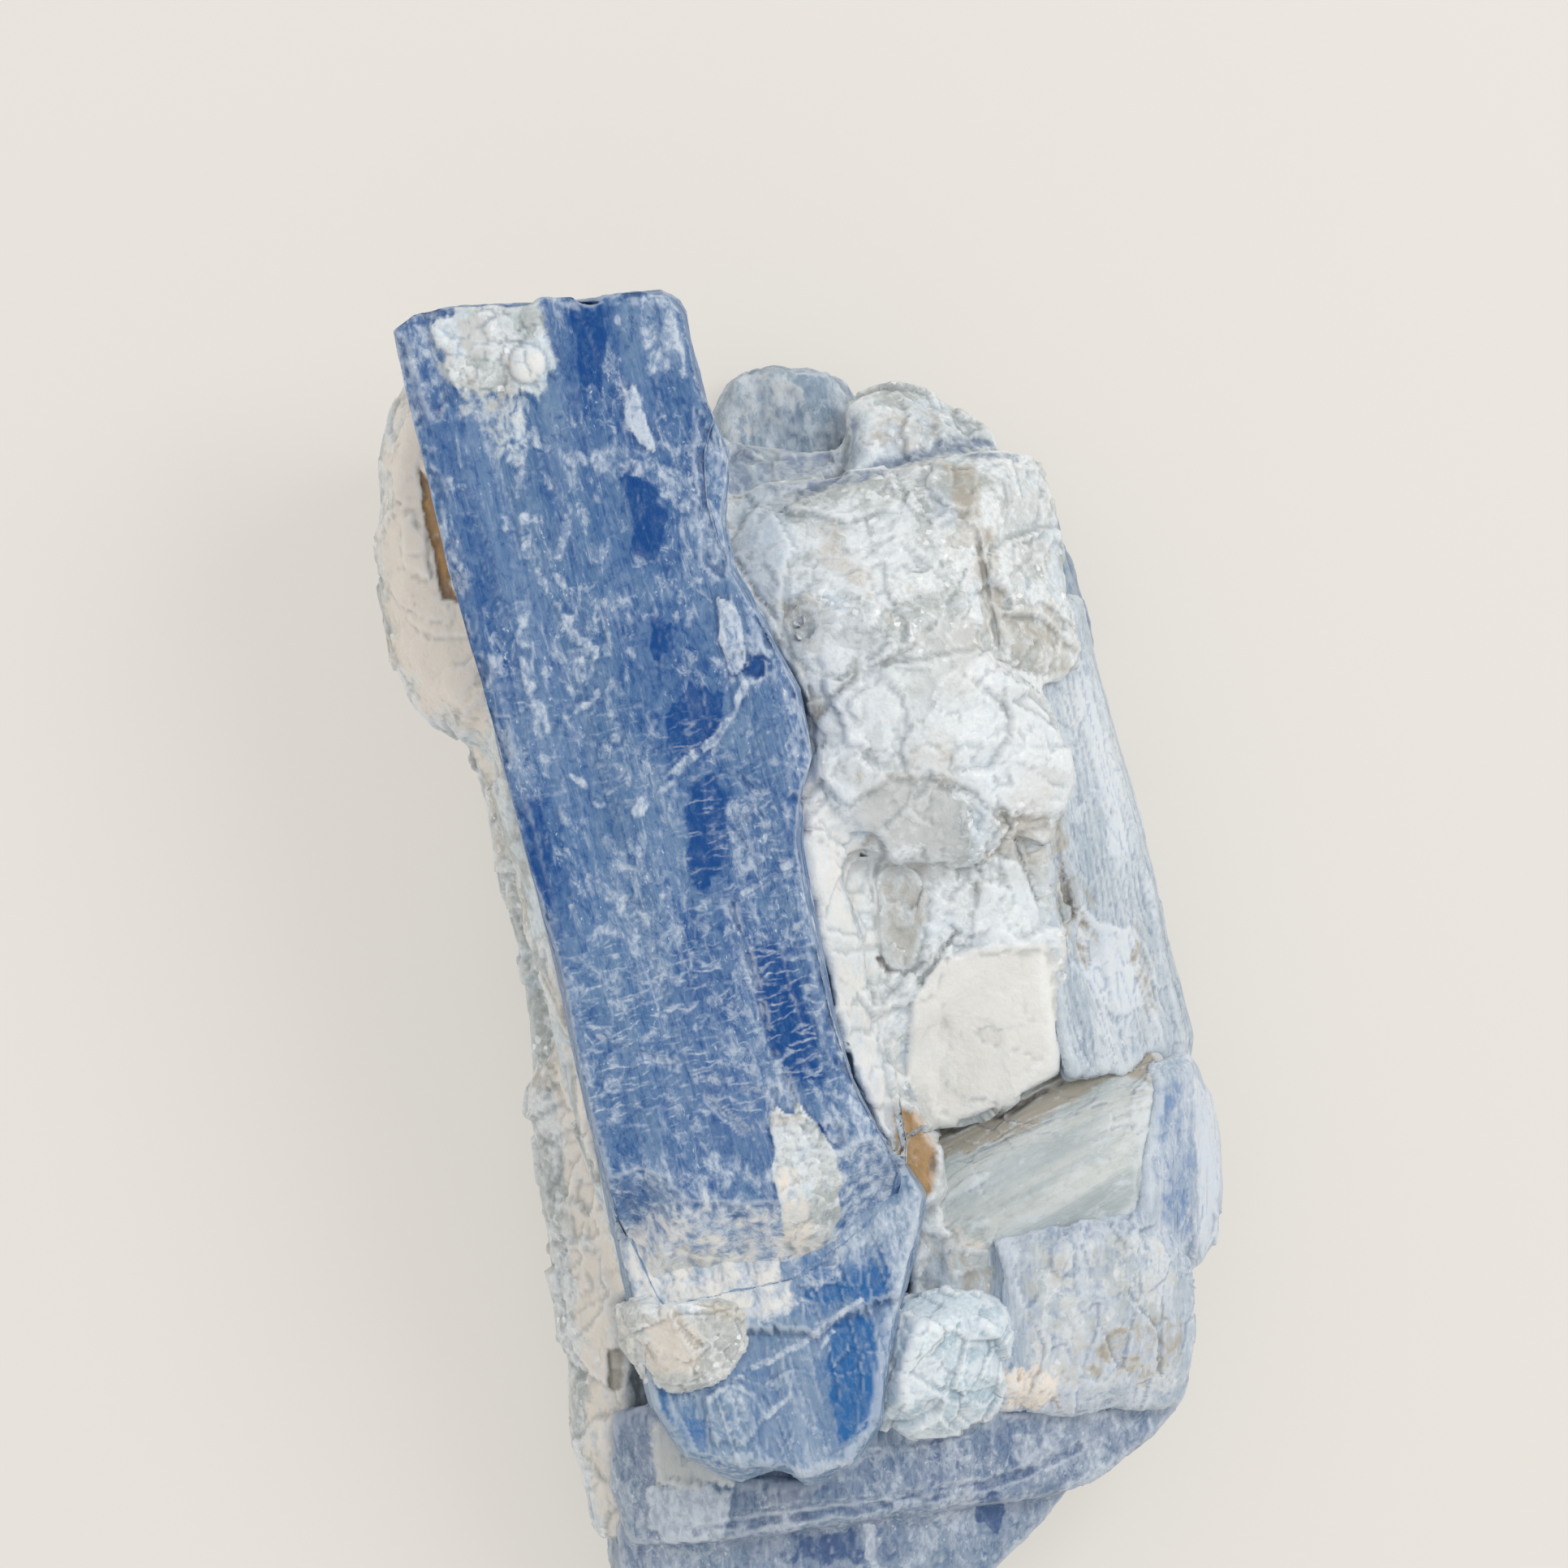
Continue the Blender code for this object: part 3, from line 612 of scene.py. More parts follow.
# %% Streaks along a blade
def make_streaks():
    tree, given, asked = new_group(
        "cleavage_streaks", {"Vector": ("vector", None)},
        {"Streaks": "value", "Fibres": "value", "Mottle": "value", "Hue": "value",
         "Bands": "value", "Seams": "value"})
    wide = stretched(tree, given["Vector"], 2.0, 9.0)
    fine = stretched(tree, given["Vector"], 0.17, 4.0)
    small = stretched(tree, given["Vector"], 0.6, 1.0)
    tree.links.new(span(tree, cloud(tree, wide, 1.0, 3.0, 0.6), 0.3, 0.7), asked["Streaks"])
    tree.links.new(cloud(tree, fine, 1.0, 2.0, 0.3), asked["Fibres"])
    tree.links.new(cloud(tree, small, 1.0, 4.0, 0.5, 0.65), asked["Mottle"])
    tints = put(tree, "TexNoise", {"Vector": stretched(tree, given["Vector"], 2.6, 24.0),
                                   "Scale": 1.0, "Detail": 4.0, "Roughness": 0.45})
    split = put(tree, "SeparateColor", {0: tints.outputs["Color"]}).outputs
    levels, seams = 0.0, 0.0
    for level in (0.42, 0.5, 0.57):
        away = calc(tree, "SUBTRACT", split[0], level)
        levels = calc(tree, "ADD", span(tree, away, -0.004, 0.004, 0.0, 1 / 3), levels)
        seam = span(tree, calc(tree, "ABSOLUTE", away), 0.0, 0.007, 1.0, 0.0)
        seams = calc(tree, "MAXIMUM", seam, seams)
    tree.links.new(levels, asked["Bands"])
    tree.links.new(seams, asked["Seams"])
    tree.links.new(span(tree, split[1], 0.42, 0.58), asked["Hue"])
    return tree


streaks_group = make_streaks()

# %% [markdown]
# Where the crystal has begun to part inside, air lets light scatter, and it turns white in
# torn patches and tiny flecks. Rough noise has such ragged shapes at every size. It also tears
# the edges of the painted masks, which are soft because the mesh is coarser than the eye.

# %% Frost
def make_frost():
    tree, given, asked = new_group(
        "frost", {"Vector": ("vector", None), "Share": ("value", 0.3)},
        {"Mask": "value", "Tear": "value"})
    tear = cloud(tree, stretched(tree, given["Vector"], 1.3, 1.7), 1.0, 4.0, 0.5, 0.64)
    specks = cloud(tree, stretched(tree, given["Vector"], 0.28, 0.5), 1.0, 2.0, 0.0, 0.5)
    areas = cloud(tree, stretched(tree, given["Vector"], 3.0, 5.0), 1.0, 3.0)
    spread = span(tree, areas, 0.38, 0.64)
    share = calc(tree, "MULTIPLY", calc(tree, "MULTIPLY", spread, given["Share"]), 0.3)
    patches = span(tree, calc(tree, "ADD", tear, share), 0.61, 0.74, 0.0, 0.6)
    flecks = span(tree, calc(tree, "ADD", specks, share), 0.74, 0.84, 0.0, 0.8)
    long = cloud(tree, stretched(tree, given["Vector"], 0.7, 3.4), 1.0, 4.0, 0.8, 0.62)
    wisps = span(tree, calc(tree, "ADD", long, share), 0.6, 0.78, 0.0, 0.45)
    white = calc(tree, "MAXIMUM", calc(tree, "MAXIMUM", patches, flecks), wisps)
    tree.links.new(white, asked["Mask"])
    tree.links.new(tear, asked["Tear"])
    return tree


frost_group = make_frost()

# %% [markdown]
# Kyanite also parts straight across the blade, in short cracks like the rungs of a ladder.
# Stretched Voronoi cells have borders of just that kind.

# %% Cross cracks
def make_cross_cracks():
    tree, given, asked = new_group("cross_cracks", {"Vector": ("vector", None)}, {"Mask": "value"})
    drift = cloud(tree, stretched(tree, given["Vector"], 2.0, 3.0), 1.0, 3.0)
    offset = put(tree, "CombineXYZ", {"X": 0.0, "Y": calc(tree, "MULTIPLY", drift, 1.6)}).outputs[0]
    moved = put(tree, "VectorMath", {0: given["Vector"], 1: offset}, operation="ADD").outputs[0]
    cells = put(tree, "TexVoronoi", {"Vector": stretched(tree, moved, 3.0, 0.7), "Scale": 1.0},
                feature="DISTANCE_TO_EDGE")
    line = span(tree, cells.outputs["Distance"], 0.02, 0.17, 0.75, 0.0)
    gaps = span(tree, cloud(tree, stretched(tree, given["Vector"], 1.4, 0.8), 1.0, 3.0), 0.42, 0.62)
    tree.links.new(calc(tree, "MULTIPLY", line, gaps), asked["Mask"])
    return tree


cracks_group = make_cross_cracks()

# %% [markdown]
# Quartz here is cloudy: milk white with clear grey windows, and breaths of brown and of blue.
# It is granular too, and now and then a grain's face catches the light; these glints are painted
# highlights, near white in the colour.

# %% Cloudy quartz
def make_quartz_cloud():
    tree, given, asked = new_group(
        "quartz_cloud", {"Vector": ("vector", None), "White": ("colour", tone(226, 231, 233)),
                         "Window": ("colour", tone(176, 184, 183)),
                         "Warm": ("colour", tone(196, 188, 176)),
                         "Cool": ("colour", tone(214, 228, 238))},
        {"Color": "colour", "Glints": "value", "Height": "value"})
    drift = put(tree, "TexNoise", {"Vector": given["Vector"], "Scale": 0.5, "Detail": 3.0})
    shift = put(tree, "VectorMath", {0: drift.outputs["Color"], 1: (3.4, 3.4, 3.4)},
                operation="MULTIPLY").outputs[0]
    bent = put(tree, "VectorMath", {0: given["Vector"], 1: shift}, operation="ADD").outputs[0]
    level, rims, tilts = 0.0, 0.0, 0.0
    for size, share in ((4.4, 0.6), (1.6, 0.4)):
        place = stretched(tree, bent, size, 1.7 * size)
        flake = put(tree, "TexVoronoi", {"Vector": place, "Scale": 1.0})
        shade = put(tree, "SeparateColor", {0: flake.outputs["Color"]}).outputs[0]
        level = calc(tree, "ADD", calc(tree, "MULTIPLY", shade, share), level)
        local = put(tree, "VectorMath", {0: place, 1: flake.outputs["Position"]},
                    operation="SUBTRACT").outputs[0]
        lean = put(tree, "VectorMath", {0: flake.outputs["Color"], 1: (0.5, 0.5, 0.5)},
                   operation="SUBTRACT").outputs[0]
        tilt = put(tree, "VectorMath", {0: local, 1: lean}, operation="DOT_PRODUCT")
        tilts = calc(tree, "ADD", calc(tree, "MULTIPLY", tilt.outputs["Value"], 2.2 * share * size),
                     tilts)
        edge = put(tree, "TexVoronoi", {"Vector": place, "Scale": 1.0}, feature="DISTANCE_TO_EDGE")
        rims = calc(tree, "MAXIMUM", span(tree, edge.outputs["Distance"], 0.0, 0.06, share, 0.0),
                    rims)
    haze = cloud(tree, given["Vector"], 0.3, 4.0, 1.0)
    windows = span(tree, calc(tree, "ADD", haze, calc(tree, "MULTIPLY", level, 0.7)), 0.72, 1.0)
    tints = put(tree, "TexNoise", {"Vector": given["Vector"], "Scale": 0.17, "Detail": 3.0,
                                   "Distortion": 0.8})
    split = put(tree, "SeparateColor", {0: tints.outputs["Color"]}).outputs
    colour = blend(tree, calc(tree, "MULTIPLY", windows, 0.9), given["White"], given["Window"])
    rims = calc(tree, "MULTIPLY", rims, span(tree, split[2], 0.45, 0.6))
    colour = blend(tree, rims, colour, tone(240, 244, 247))
    colour = blend(tree, span(tree, split[0], 0.54, 0.68, 0.0, 0.7), colour, given["Warm"])
    colour = blend(tree, span(tree, split[1], 0.52, 0.66, 0.0, 0.75), colour, given["Cool"])
    grain = cloud(tree, given["Vector"], 2.6, 4.0, 0.4)
    shade = span(tree, grain, 0.3, 0.66, 0.86, 1.06)
    colour = blend(tree, 1.0, colour, put(tree, "CombineColor", {0: shade, 1: shade, 2: shade})
                   .outputs[0], "MULTIPLY")
    # Glints: a few grain faces are painted near white as painted highlights, and the material makes
    # them glossier.
    facets = put(tree, "TexVoronoi", {"Vector": given["Vector"], "Scale": 2.4})
    chosen = put(tree, "SeparateColor", {0: facets.outputs["Color"]}).outputs[0]
    glints = calc(tree, "MULTIPLY", span(tree, chosen, 0.9, 0.97),
                  span(tree, split[2], 0.47, 0.58))
    colour = blend(tree, glints, colour, tone(248, 250, 252))
    tree.links.new(colour, asked["Color"])
    tree.links.new(glints, asked["Glints"])
    height = calc(tree, "ADD", calc(tree, "ADD", calc(tree, "MULTIPLY", level, 0.5), tilts),
                  calc(tree, "MULTIPLY", grain, 0.4))
    tree.links.new(calc(tree, "ADD", height, calc(tree, "MULTIPLY", chosen, 0.3)), asked["Height"])
    return tree


quartz_group = make_quartz_cloud()

# %% [markdown]
# A crest that has been knocked about is full of tiny cracks and looks white. The pits are
# darkened with painted shade. The masks say where both are.

# %% Worn crests and pits in painted shade
def make_wear_and_pit_shade():
    tree, given, asked = new_group(
        "wear_and_pit_shade", {"Color": ("colour", None), "Wear": ("value", 0.0), "Pit": ("value", 0.0),
                       "Light": ("colour", tone(226, 234, 242)), "Shade": ("colour", None)},
        {"Color": "colour"})
    colour = blend(tree, given["Wear"], given["Color"], given["Light"])
    # Pits are multiplied by the shade colour: painted shade in the hollows.
    colour = blend(tree, given["Pit"], colour, given["Shade"], "MULTIPLY")
    tree.links.new(colour, asked["Color"])
    return tree


wear_and_shade_group = make_wear_and_pit_shade()
print("shader groups:", ", ".join(sorted(g.name for g in bpy.data.node_groups)))

# %% [markdown]
# ## The two minerals
#
# Kyanite and quartz are one material each in nature, but each crystal has its own tint, its own
# direction of growth and its own share of frost. So each piece gets a material from the same
# recipe. The masks of its skin add the listed marks.

# %% Kyanite
FROST = tone(214, 224, 236)
GREENISH = tone(108, 140, 160)
TINTS = {"shell": tone(238, 236, 231), "grey": tone(204, 207, 206), "cream": tone(240, 231, 220),
         "dun": tone(176, 170, 158), "stain": tone(138, 100, 58), "amber": tone(190, 146, 86),
         "umber": tone(112, 106, 102)}


def mask_of(tree, piece, name):
    """One of the masks painted on the piece, or 0 if it has no such paint."""
    if name not in piece.data.attributes:
        return 0.0
    return put(tree, "Attribute", attribute_name=name, attribute_type="GEOMETRY").outputs["Fac"]


def torn_mask(tree, piece, name, tear, soft=0.3):
    """A painted mask with its edge torn by rough noise. Part strength comes out as patches."""
    if name not in piece.data.attributes:
        return 0.0
    mask = mask_of(tree, piece, name)
    moved = calc(tree, "ADD", mask,
                 calc(tree, "MULTIPLY", calc(tree, "SUBTRACT", tear, 0.5), 2.0))
    torn = span(tree, moved, 0.5 - soft, 0.5 + soft)
    return calc(tree, "MULTIPLY", torn, span(tree, mask, 0.02, 0.2))


def tints_of(piece):
    """The tints that are painted on the piece at all, and their colours."""
    return [(mask, paint) for mask, paint in TINTS.items() if mask in piece.data.attributes]


def stone_space(tree, lean):
    """Coordinates in mm that are fixed in the stone, turned so that Y runs along the grain."""
    place = put(tree, "TexCoord").outputs["Object"]
    return put(tree, "Mapping", {"Vector": place, "Scale": (1 / MM, 1 / MM, 1 / MM),
                                 "Rotation": (0.0, 0.0, -math.radians(lean))}).outputs[0]


def kyanite_material(piece, name, lean, body, deep, pale, frosty=0.5, streak=0.5, mottle=0.6,
                     wear=0.35, green=0.3):
    """Makes a piece blue kyanite. frosty and the rest say how strong each effect is."""
    made = bpy.data.materials.new(name)
    made.use_nodes = True
    tree = made.node_tree
    shader = tree.nodes["Principled BSDF"]
    space = stone_space(tree, lean)
    streaks = use_group(tree, streaks_group, {"Vector": space})
    frost = use_group(tree, frost_group, {"Vector": space, "Share": frosty})
    cracks = use_group(tree, cracks_group, {"Vector": space})
    quartz = use_group(tree, quartz_group, {"Vector": space})

    colour = blend(tree, calc(tree, "MULTIPLY", streaks["Streaks"], streak), body, pale)
    colour = blend(tree, span(tree, streaks["Bands"], 0.2, 1.0, 0.0, 0.55 * mottle), colour, deep)
    colour = blend(tree, calc(tree, "MULTIPLY", streaks["Hue"], green), colour, GREENISH)
    colour = blend(tree, span(tree, streaks["Mottle"], 0.5, 0.32, 0.0, mottle), colour, deep)
    colour = blend(tree, span(tree, streaks["Fibres"], 0.52, 0.7, 0.0, 0.35 * mottle), colour, deep)
    colour = blend(tree, span(tree, streaks["Fibres"], 0.48, 0.3, 0.0, 0.3 * mottle), colour, pale)
    colour = blend(tree, span(tree, streaks["Mottle"], 0.52, 0.7, 0.0, 0.8 * mottle), colour, pale)
    colour = blend(tree, calc(tree, "MULTIPLY", streaks["Seams"], 0.35), colour, pale)
    bluer = blend(tree, span(tree, streaks["Mottle"], 0.38, 0.62, 0.0, 0.8), deep, body)
    colour = blend(tree, calc(tree, "MULTIPLY", mask_of(tree, piece, "blue"), 0.7), colour, bluer)
    clear = torn_mask(tree, piece, "deep", frost["Tear"])
    clear_tone = blend(tree, span(tree, streaks["Mottle"], 0.45, 0.7, 0.0, 0.35), deep, body)
    colour = blend(tree, calc(tree, "MULTIPLY", clear, 0.95), colour, clear_tone)

    rungs = calc(tree, "MULTIPLY", cracks["Mask"], mask_of(tree, piece, "hatch"))
    grainy = calc(tree, "MULTIPLY", torn_mask(tree, piece, "frost", frost["Tear"], 0.28), 0.85)
    speckled = calc(tree, "MULTIPLY", frost["Mask"],
                    calc(tree, "SUBTRACT", 1.0, calc(tree, "MULTIPLY", clear, 0.85)))
    white = calc(tree, "MAXIMUM", calc(tree, "MAXIMUM", rungs, speckled), grainy, clamp=True)
    frost_tone = blend(tree, span(tree, streaks["Mottle"], 0.35, 0.65), pale, FROST)
    colour = blend(tree, white, colour, frost_tone)
    crust = torn_mask(tree, piece, "quartz", frost["Tear"], 0.35)
    colour = blend(tree, crust, colour, quartz["Color"])
    for mask, paint in tints_of(piece):
        colour = blend(tree, torn_mask(tree, piece, mask, frost["Tear"]), colour, paint)
    # Crests are lightened as wear, and pits are darkened with a bluish painted shade.
    colour = use_group(tree, wear_and_shade_group, {
        "Color": colour, "Wear": calc(tree, "MULTIPLY", mask_of(tree, piece, "wear"), wear),
        "Pit": calc(tree, "MULTIPLY", mask_of(tree, piece, "pit"), 0.4),
        "Shade": tone(130, 150, 185)})["Color"]
    tree.links.new(colour, shader.inputs["Base Color"])

    tree.links.new(span(tree, white, 0.0, 1.0, 0.36, 0.6), shader.inputs["Roughness"])
    height = calc(tree, "ADD", calc(tree, "MULTIPLY", streaks["Fibres"], 0.3),
                  calc(tree, "MULTIPLY", streaks["Mottle"], 0.5))
    bump = put(tree, "Bump", {"Height": height, "Distance": 0.3 * MM, "Strength": 0.4})
    tree.links.new(bump.outputs[0], shader.inputs["Normal"])
    shader.inputs["IOR"].default_value = 1.5
    shader.inputs["Specular IOR Level"].default_value = 0.22
    piece.data.materials.append(made)


# %% Quartz
MILK = tone(236, 242, 246)
BLUE_BREATH = tone(164, 180, 196)
BLUE_SHADE = tone(122, 138, 166)


def quartz_material(piece, name, lean=0.0, white=tone(228, 233, 235), window=tone(178, 185, 184),
                    warm=tone(200, 192, 180), cool=tone(216, 229, 239), wear=0.28):
    """Makes a piece milky quartz, with windows of clear grey and breaths of brown and blue."""
    made = bpy.data.materials.new(name)
    made.use_nodes = True
    tree = made.node_tree
    shader = tree.nodes["Principled BSDF"]
    space = stone_space(tree, lean)
    quartz = use_group(tree, quartz_group, {"Vector": space, "White": white, "Window": window,
                                            "Warm": warm, "Cool": cool})
    tear = use_group(tree, frost_group, {"Vector": space})["Tear"]
    frosted = calc(tree, "MULTIPLY", torn_mask(tree, piece, "frost", tear), 0.62)
    colour = blend(tree, frosted, quartz["Color"], MILK)
    tinged = calc(tree, "MULTIPLY", mask_of(tree, piece, "blue"), 0.55)
    colour = blend(tree, tinged, colour, BLUE_BREATH)
    shaded = calc(tree, "MULTIPLY", torn_mask(tree, piece, "deep", tear), 0.85)
    colour = blend(tree, shaded, colour, BLUE_SHADE)
    for mask, paint in tints_of(piece):
        share = calc(tree, "MULTIPLY", torn_mask(tree, piece, mask, tear, 0.4), 0.9)
        colour = blend(tree, share, colour, paint)
    # Crests are lightened as wear, and pits are darkened with a grey painted shade.
    colour = use_group(tree, wear_and_shade_group, {
        "Color": colour, "Wear": calc(tree, "MULTIPLY", mask_of(tree, piece, "wear"), wear),
        "Pit": calc(tree, "MULTIPLY", mask_of(tree, piece, "pit"), 0.4),
        "Light": tone(244, 248, 251), "Shade": tone(176, 184, 192)})["Color"]
    tree.links.new(colour, shader.inputs["Base Color"])
    tree.links.new(span(tree, quartz["Glints"], 0.0, 1.0, 0.4, 0.15), shader.inputs["Roughness"])
    bump = put(tree, "Bump", {"Height": quartz["Height"], "Distance": 0.3 * MM, "Strength": 0.45})
    tree.links.new(bump.outputs[0], shader.inputs["Normal"])
    shader.inputs["IOR"].default_value = 1.54
    shader.inputs["Subsurface Weight"].default_value = 0.25
    shader.inputs["Subsurface Radius"].default_value = (1.0, 1.0, 1.1)
    shader.inputs["Subsurface Scale"].default_value = 1.0 * MM
    piece.data.materials.append(made)


# %% [markdown]
# ## How kyanite and quartz break
#
# Kyanite splits along the blade into level strips with low steps between them. Quartz has no
# cleavage: it breaks in shallow bowls with sharp rims, and in crumbly grains at its edges.

# %% Cleave a blade
def cleave(skin, width, length, step, seed, across):
    """Lengthwise strips up to step mm above one another, with fibres and low cross facets."""
    slope = rough(skin.grain, (width, length, width), 2, seed) * 3.0
    fine = rough(skin.grain, (width * 0.35, length * 0.7, width * 0.35), 2, seed + 11) * 2.0
    fibres = rough(skin.grain, (0.4, 7.0, 0.4), 2, seed + 23)
    skin.push += step * (0.5 * stairs(slope, 0.12) + 0.16 * stairs(fine, 0.3) + 0.1 * fibres)
    skin.push += across * grains(skin.grain, (width * 1.6, 2.6, width * 1.6), seed + 41)[2]


# %% Break up quartz
def break_up(skin, size, depth, seed, crumbs):
    """Tilted flakes of the given size and depth, with smaller ones on them and crumbs all over."""
    drift = np.stack([rough(skin.points, size, 2, seed + 50 + i) for i in range(3)], axis=1)
    bent = skin.points + drift * size * 0.5
    skin.push += depth * grains(bent, size, seed)[2]
    skin.push += 0.4 * depth * grains(bent, size * 0.4, seed + 10)[2]
    skin.push += crumbs * (hackly(skin.points, 0.9, 3, seed + 30) - 0.5)


# %% [markdown]
# ## The front blade
#
# The large blade is what the eye goes to. Its broad face is one cleavage plane, with strips a
# fraction of a millimetre above or below it, deep blue where the crystal is clear, and white
# where it has splintered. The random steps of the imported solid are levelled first, and the
# real ledges are then laid on the plane.

# %% Measure the front blade
FRONT_FACE = 35.0                    # mm, height of the face
LEAN = 14.4                          # degrees the blades lean to the left
FRONT_OUTLINE = [(512, 392), (600, 370), (720, 362), (812, 357), (845, 375), (852, 420),
                 (872, 500), (898, 560), (896, 640), (905, 690), (935, 735), (952, 790),
                 (985, 850), (1000, 930), (985, 985), (1000, 1080), (1015, 1180), (1030, 1260),
                 (1050, 1330), (1085, 1400), (1112, 1450), (1100, 1480), (1040, 1530),
                 (990, 1560), (860, 1570), (800, 1580), (775, 1530), (735, 1450), (700, 1280),
                 (670, 1130), (630, 980), (600, 860), (560, 720), (530, 590), (500, 470),
                 (485, 412)]
FRONT_END = [(775, 1530), (800, 1580), (860, 1570), (990, 1560), (1040, 1530), (1100, 1480)]
FOOT_LENGTH = 9.0                    # mm of the lower end that round off downwards
FOOT_DROP = 6.3                      # mm that they drop, down to the second blade
ROOM_ABOVE = 1.5                     # mm that relief may rise above the face
PEARL = (652, 452)                   # the round grain in the crust
PEARL_RADIUS = 1.45                  # mm
print(f"front blade: leans {LEAN} degrees, its foot rounds off over {FOOT_LENGTH} mm")

# %% [markdown]
# What the eye picks out on the face is laid one by one: clear windows of deep blue, the bluer
# zones round them, frosted areas, the crust, ledges and cracks. Each kind is a list of its own.
# A painted picture could hold them too, but it would blur close up, and marks stay sharp.

# %% Place the clear deep blue windows
blue_windows = [
    patch([(706, 382), (742, 380), (748, 430), (740, 480), (716, 478)], deep=1, soft=0.5),
    patch([(768, 575), (792, 579), (808, 600), (824, 640), (806, 690), (788, 684), (776, 630)],
          deep=1, soft=0.8, ragged=0.6),
    patch([(797, 766), (831, 764), (828, 808), (804, 811)], deep=1, soft=0.5),
    patch([(822, 882), (846, 842), (890, 856), (890, 908), (852, 936), (826, 928)], deep=1,
          soft=0.6),
    patch([(856, 958), (880, 956), (896, 985), (898, 1030), (884, 1084), (862, 1102), (848, 1060),
           (848, 1000)], deep=1, soft=0.8, ragged=0.5),
    patch([(928, 1160), (962, 1165), (992, 1230), (1017, 1325), (985, 1332), (948, 1290),
           (933, 1230)], deep=0.9, soft=0.8),
    patch([(985, 1385), (1030, 1380), (1038, 1410), (1000, 1412)], level=-0.2, deep=0.9),
    patch([(643, 982), (665, 985), (683, 1050), (680, 1115), (665, 1110), (650, 1040)], deep=0.7,
          soft=0.7),
]
print("blue_windows:", len(blue_windows))

# %% Place the deeper blue round them
blue_halos = [
    patch([(698, 380), (760, 378), (775, 470), (800, 560), (760, 560), (712, 500)], blue=0.9,
          soft=1.4),
    patch([(798, 468), (846, 470), (872, 560), (880, 640), (850, 640), (812, 560)], blue=0.8,
          soft=1.4),
    patch([(764, 570), (812, 580), (846, 620), (848, 700), (820, 720), (780, 700)], blue=0.9,
          soft=1.4),
    patch([(750, 760), (840, 745), (900, 840), (885, 920), (830, 960), (770, 900)], blue=0.8,
          soft=2.0),
    patch([(840, 950), (930, 930), (985, 1000), (990, 1080), (930, 1100), (850, 1110)], blue=0.65,
          soft=1.8),
    patch([(835, 1120), (910, 1116), (935, 1180), (915, 1260), (850, 1240), (828, 1170)], blue=0.8,
          soft=1.2),
    patch([(920, 1140), (985, 1130), (1020, 1250), (1045, 1350), (990, 1350), (935, 1280)],
          blue=0.8, soft=1.6),
    patch([(632, 960), (680, 970), (710, 1100), (700, 1200), (670, 1150), (645, 1060)], blue=0.8,
          soft=1.6),
    patch([(700, 1240), (760, 1230), (800, 1400), (790, 1500), (740, 1440)], blue=0.5, soft=2.0),
    patch([(520, 500), (560, 540), (600, 700), (640, 860), (610, 860), (560, 700)], blue=0.4,
          soft=2.0),
]
print("blue_halos:", len(blue_halos))

# %% Place the pale areas
frosted_areas = [
    patch([(786, 370), (812, 360), (845, 378), (850, 420), (848, 463), (800, 460), (788, 420)],
          frost=0.55, soft=0.8),
    patch([(486, 400), (530, 396), (540, 440), (560, 500), (540, 510), (505, 480)], frost=0.5,
          level=-0.25, soft=0.9),
    patch([(861, 516), (896, 560), (900, 640), (892, 711), (870, 690), (862, 600)], frost=0.5,
          level=-0.45, soft=0.8),
    patch([(768, 488), (784, 486), (800, 520), (805, 559), (790, 552), (776, 530)], frost=1,
          level=0.16),
    patch([(740, 560), (790, 565), (850, 600), (870, 680), (840, 640), (800, 600), (745, 575)],
          frost=0.45),
    patch([(885, 738), (900, 736), (915, 770), (922, 820), (905, 833), (890, 800)], frost=1,
          level=0.3),
    # This dark-blue notch under the white flake is sunk a little and painted deep blue, as painted
    # shade.
    patch([(890, 812), (935, 800), (951, 812), (935, 834), (900, 838)], level=-0.3, deep=0.75,
          ragged=0.7, soft=0.8),
    patch([(950, 780), (990, 850), (1002, 930), (985, 960), (965, 900), (945, 850)], frost=0.4,
          soft=0.9),
    patch([(740, 1030), (830, 1010), (850, 1100), (835, 1210), (790, 1230), (745, 1150)],
          frost=0.38, soft=1.2),
    patch([(700, 800), (735, 790), (735, 830), (715, 850), (700, 830)], frost=0.5),
    patch([(1000, 1330), (1060, 1350), (1112, 1450), (1095, 1500), (1040, 1530), (1030, 1440)],
          frost=0.62, soft=0.9),
    patch([(745, 1430), (850, 1400), (960, 1420), (960, 1500), (850, 1520), (765, 1510)],
          frost=0.45, soft=2.4, ragged=1.2),
    patch([(760, 1505), (860, 1475), (960, 1490), (1060, 1515), (1000, 1590), (780, 1610)],
          frost=1, shell=0.42, soft=2.4, ragged=1.3),
    patch([(790, 1550), (850, 1535), (930, 1550), (950, 1590), (860, 1610), (780, 1600)],
          quartz=0.8, soft=1.2, ragged=0.8),
]
print("frosted_areas:", len(frosted_areas))

# %% Place the quartz crust
crust_patches = [
    patch([(536, 400), (570, 372), (620, 362), (668, 366), (672, 420), (684, 452), (665, 486),
           (620, 492), (600, 500), (565, 478), (545, 440)], quartz=0.95, level=0.22, soft=1.2,
          ragged=0.8),
    patch([(560, 480), (640, 490), (665, 520), (650, 580), (610, 560), (575, 520)], frost=0.6,
          quartz=0.42, soft=1.8, ragged=1.0),
    patch([(560, 400), (600, 395), (610, 440), (580, 450)], grey=0.7, soft=1.2),
    patch([(948, 1365), (985, 1362), (1015, 1390), (1038, 1440), (1035, 1500), (1000, 1564),
           (965, 1540), (955, 1450)], quartz=1, level=0.12),
    patch([(955, 1440), (985, 1430), (1000, 1490), (990, 1545), (968, 1530)], cream=0.55, soft=0.8),
    patch([(612, 430), (640, 440), (640, 470), (615, 465)], grey=0.5, soft=0.8),
]
print("crust_patches:", len(crust_patches))

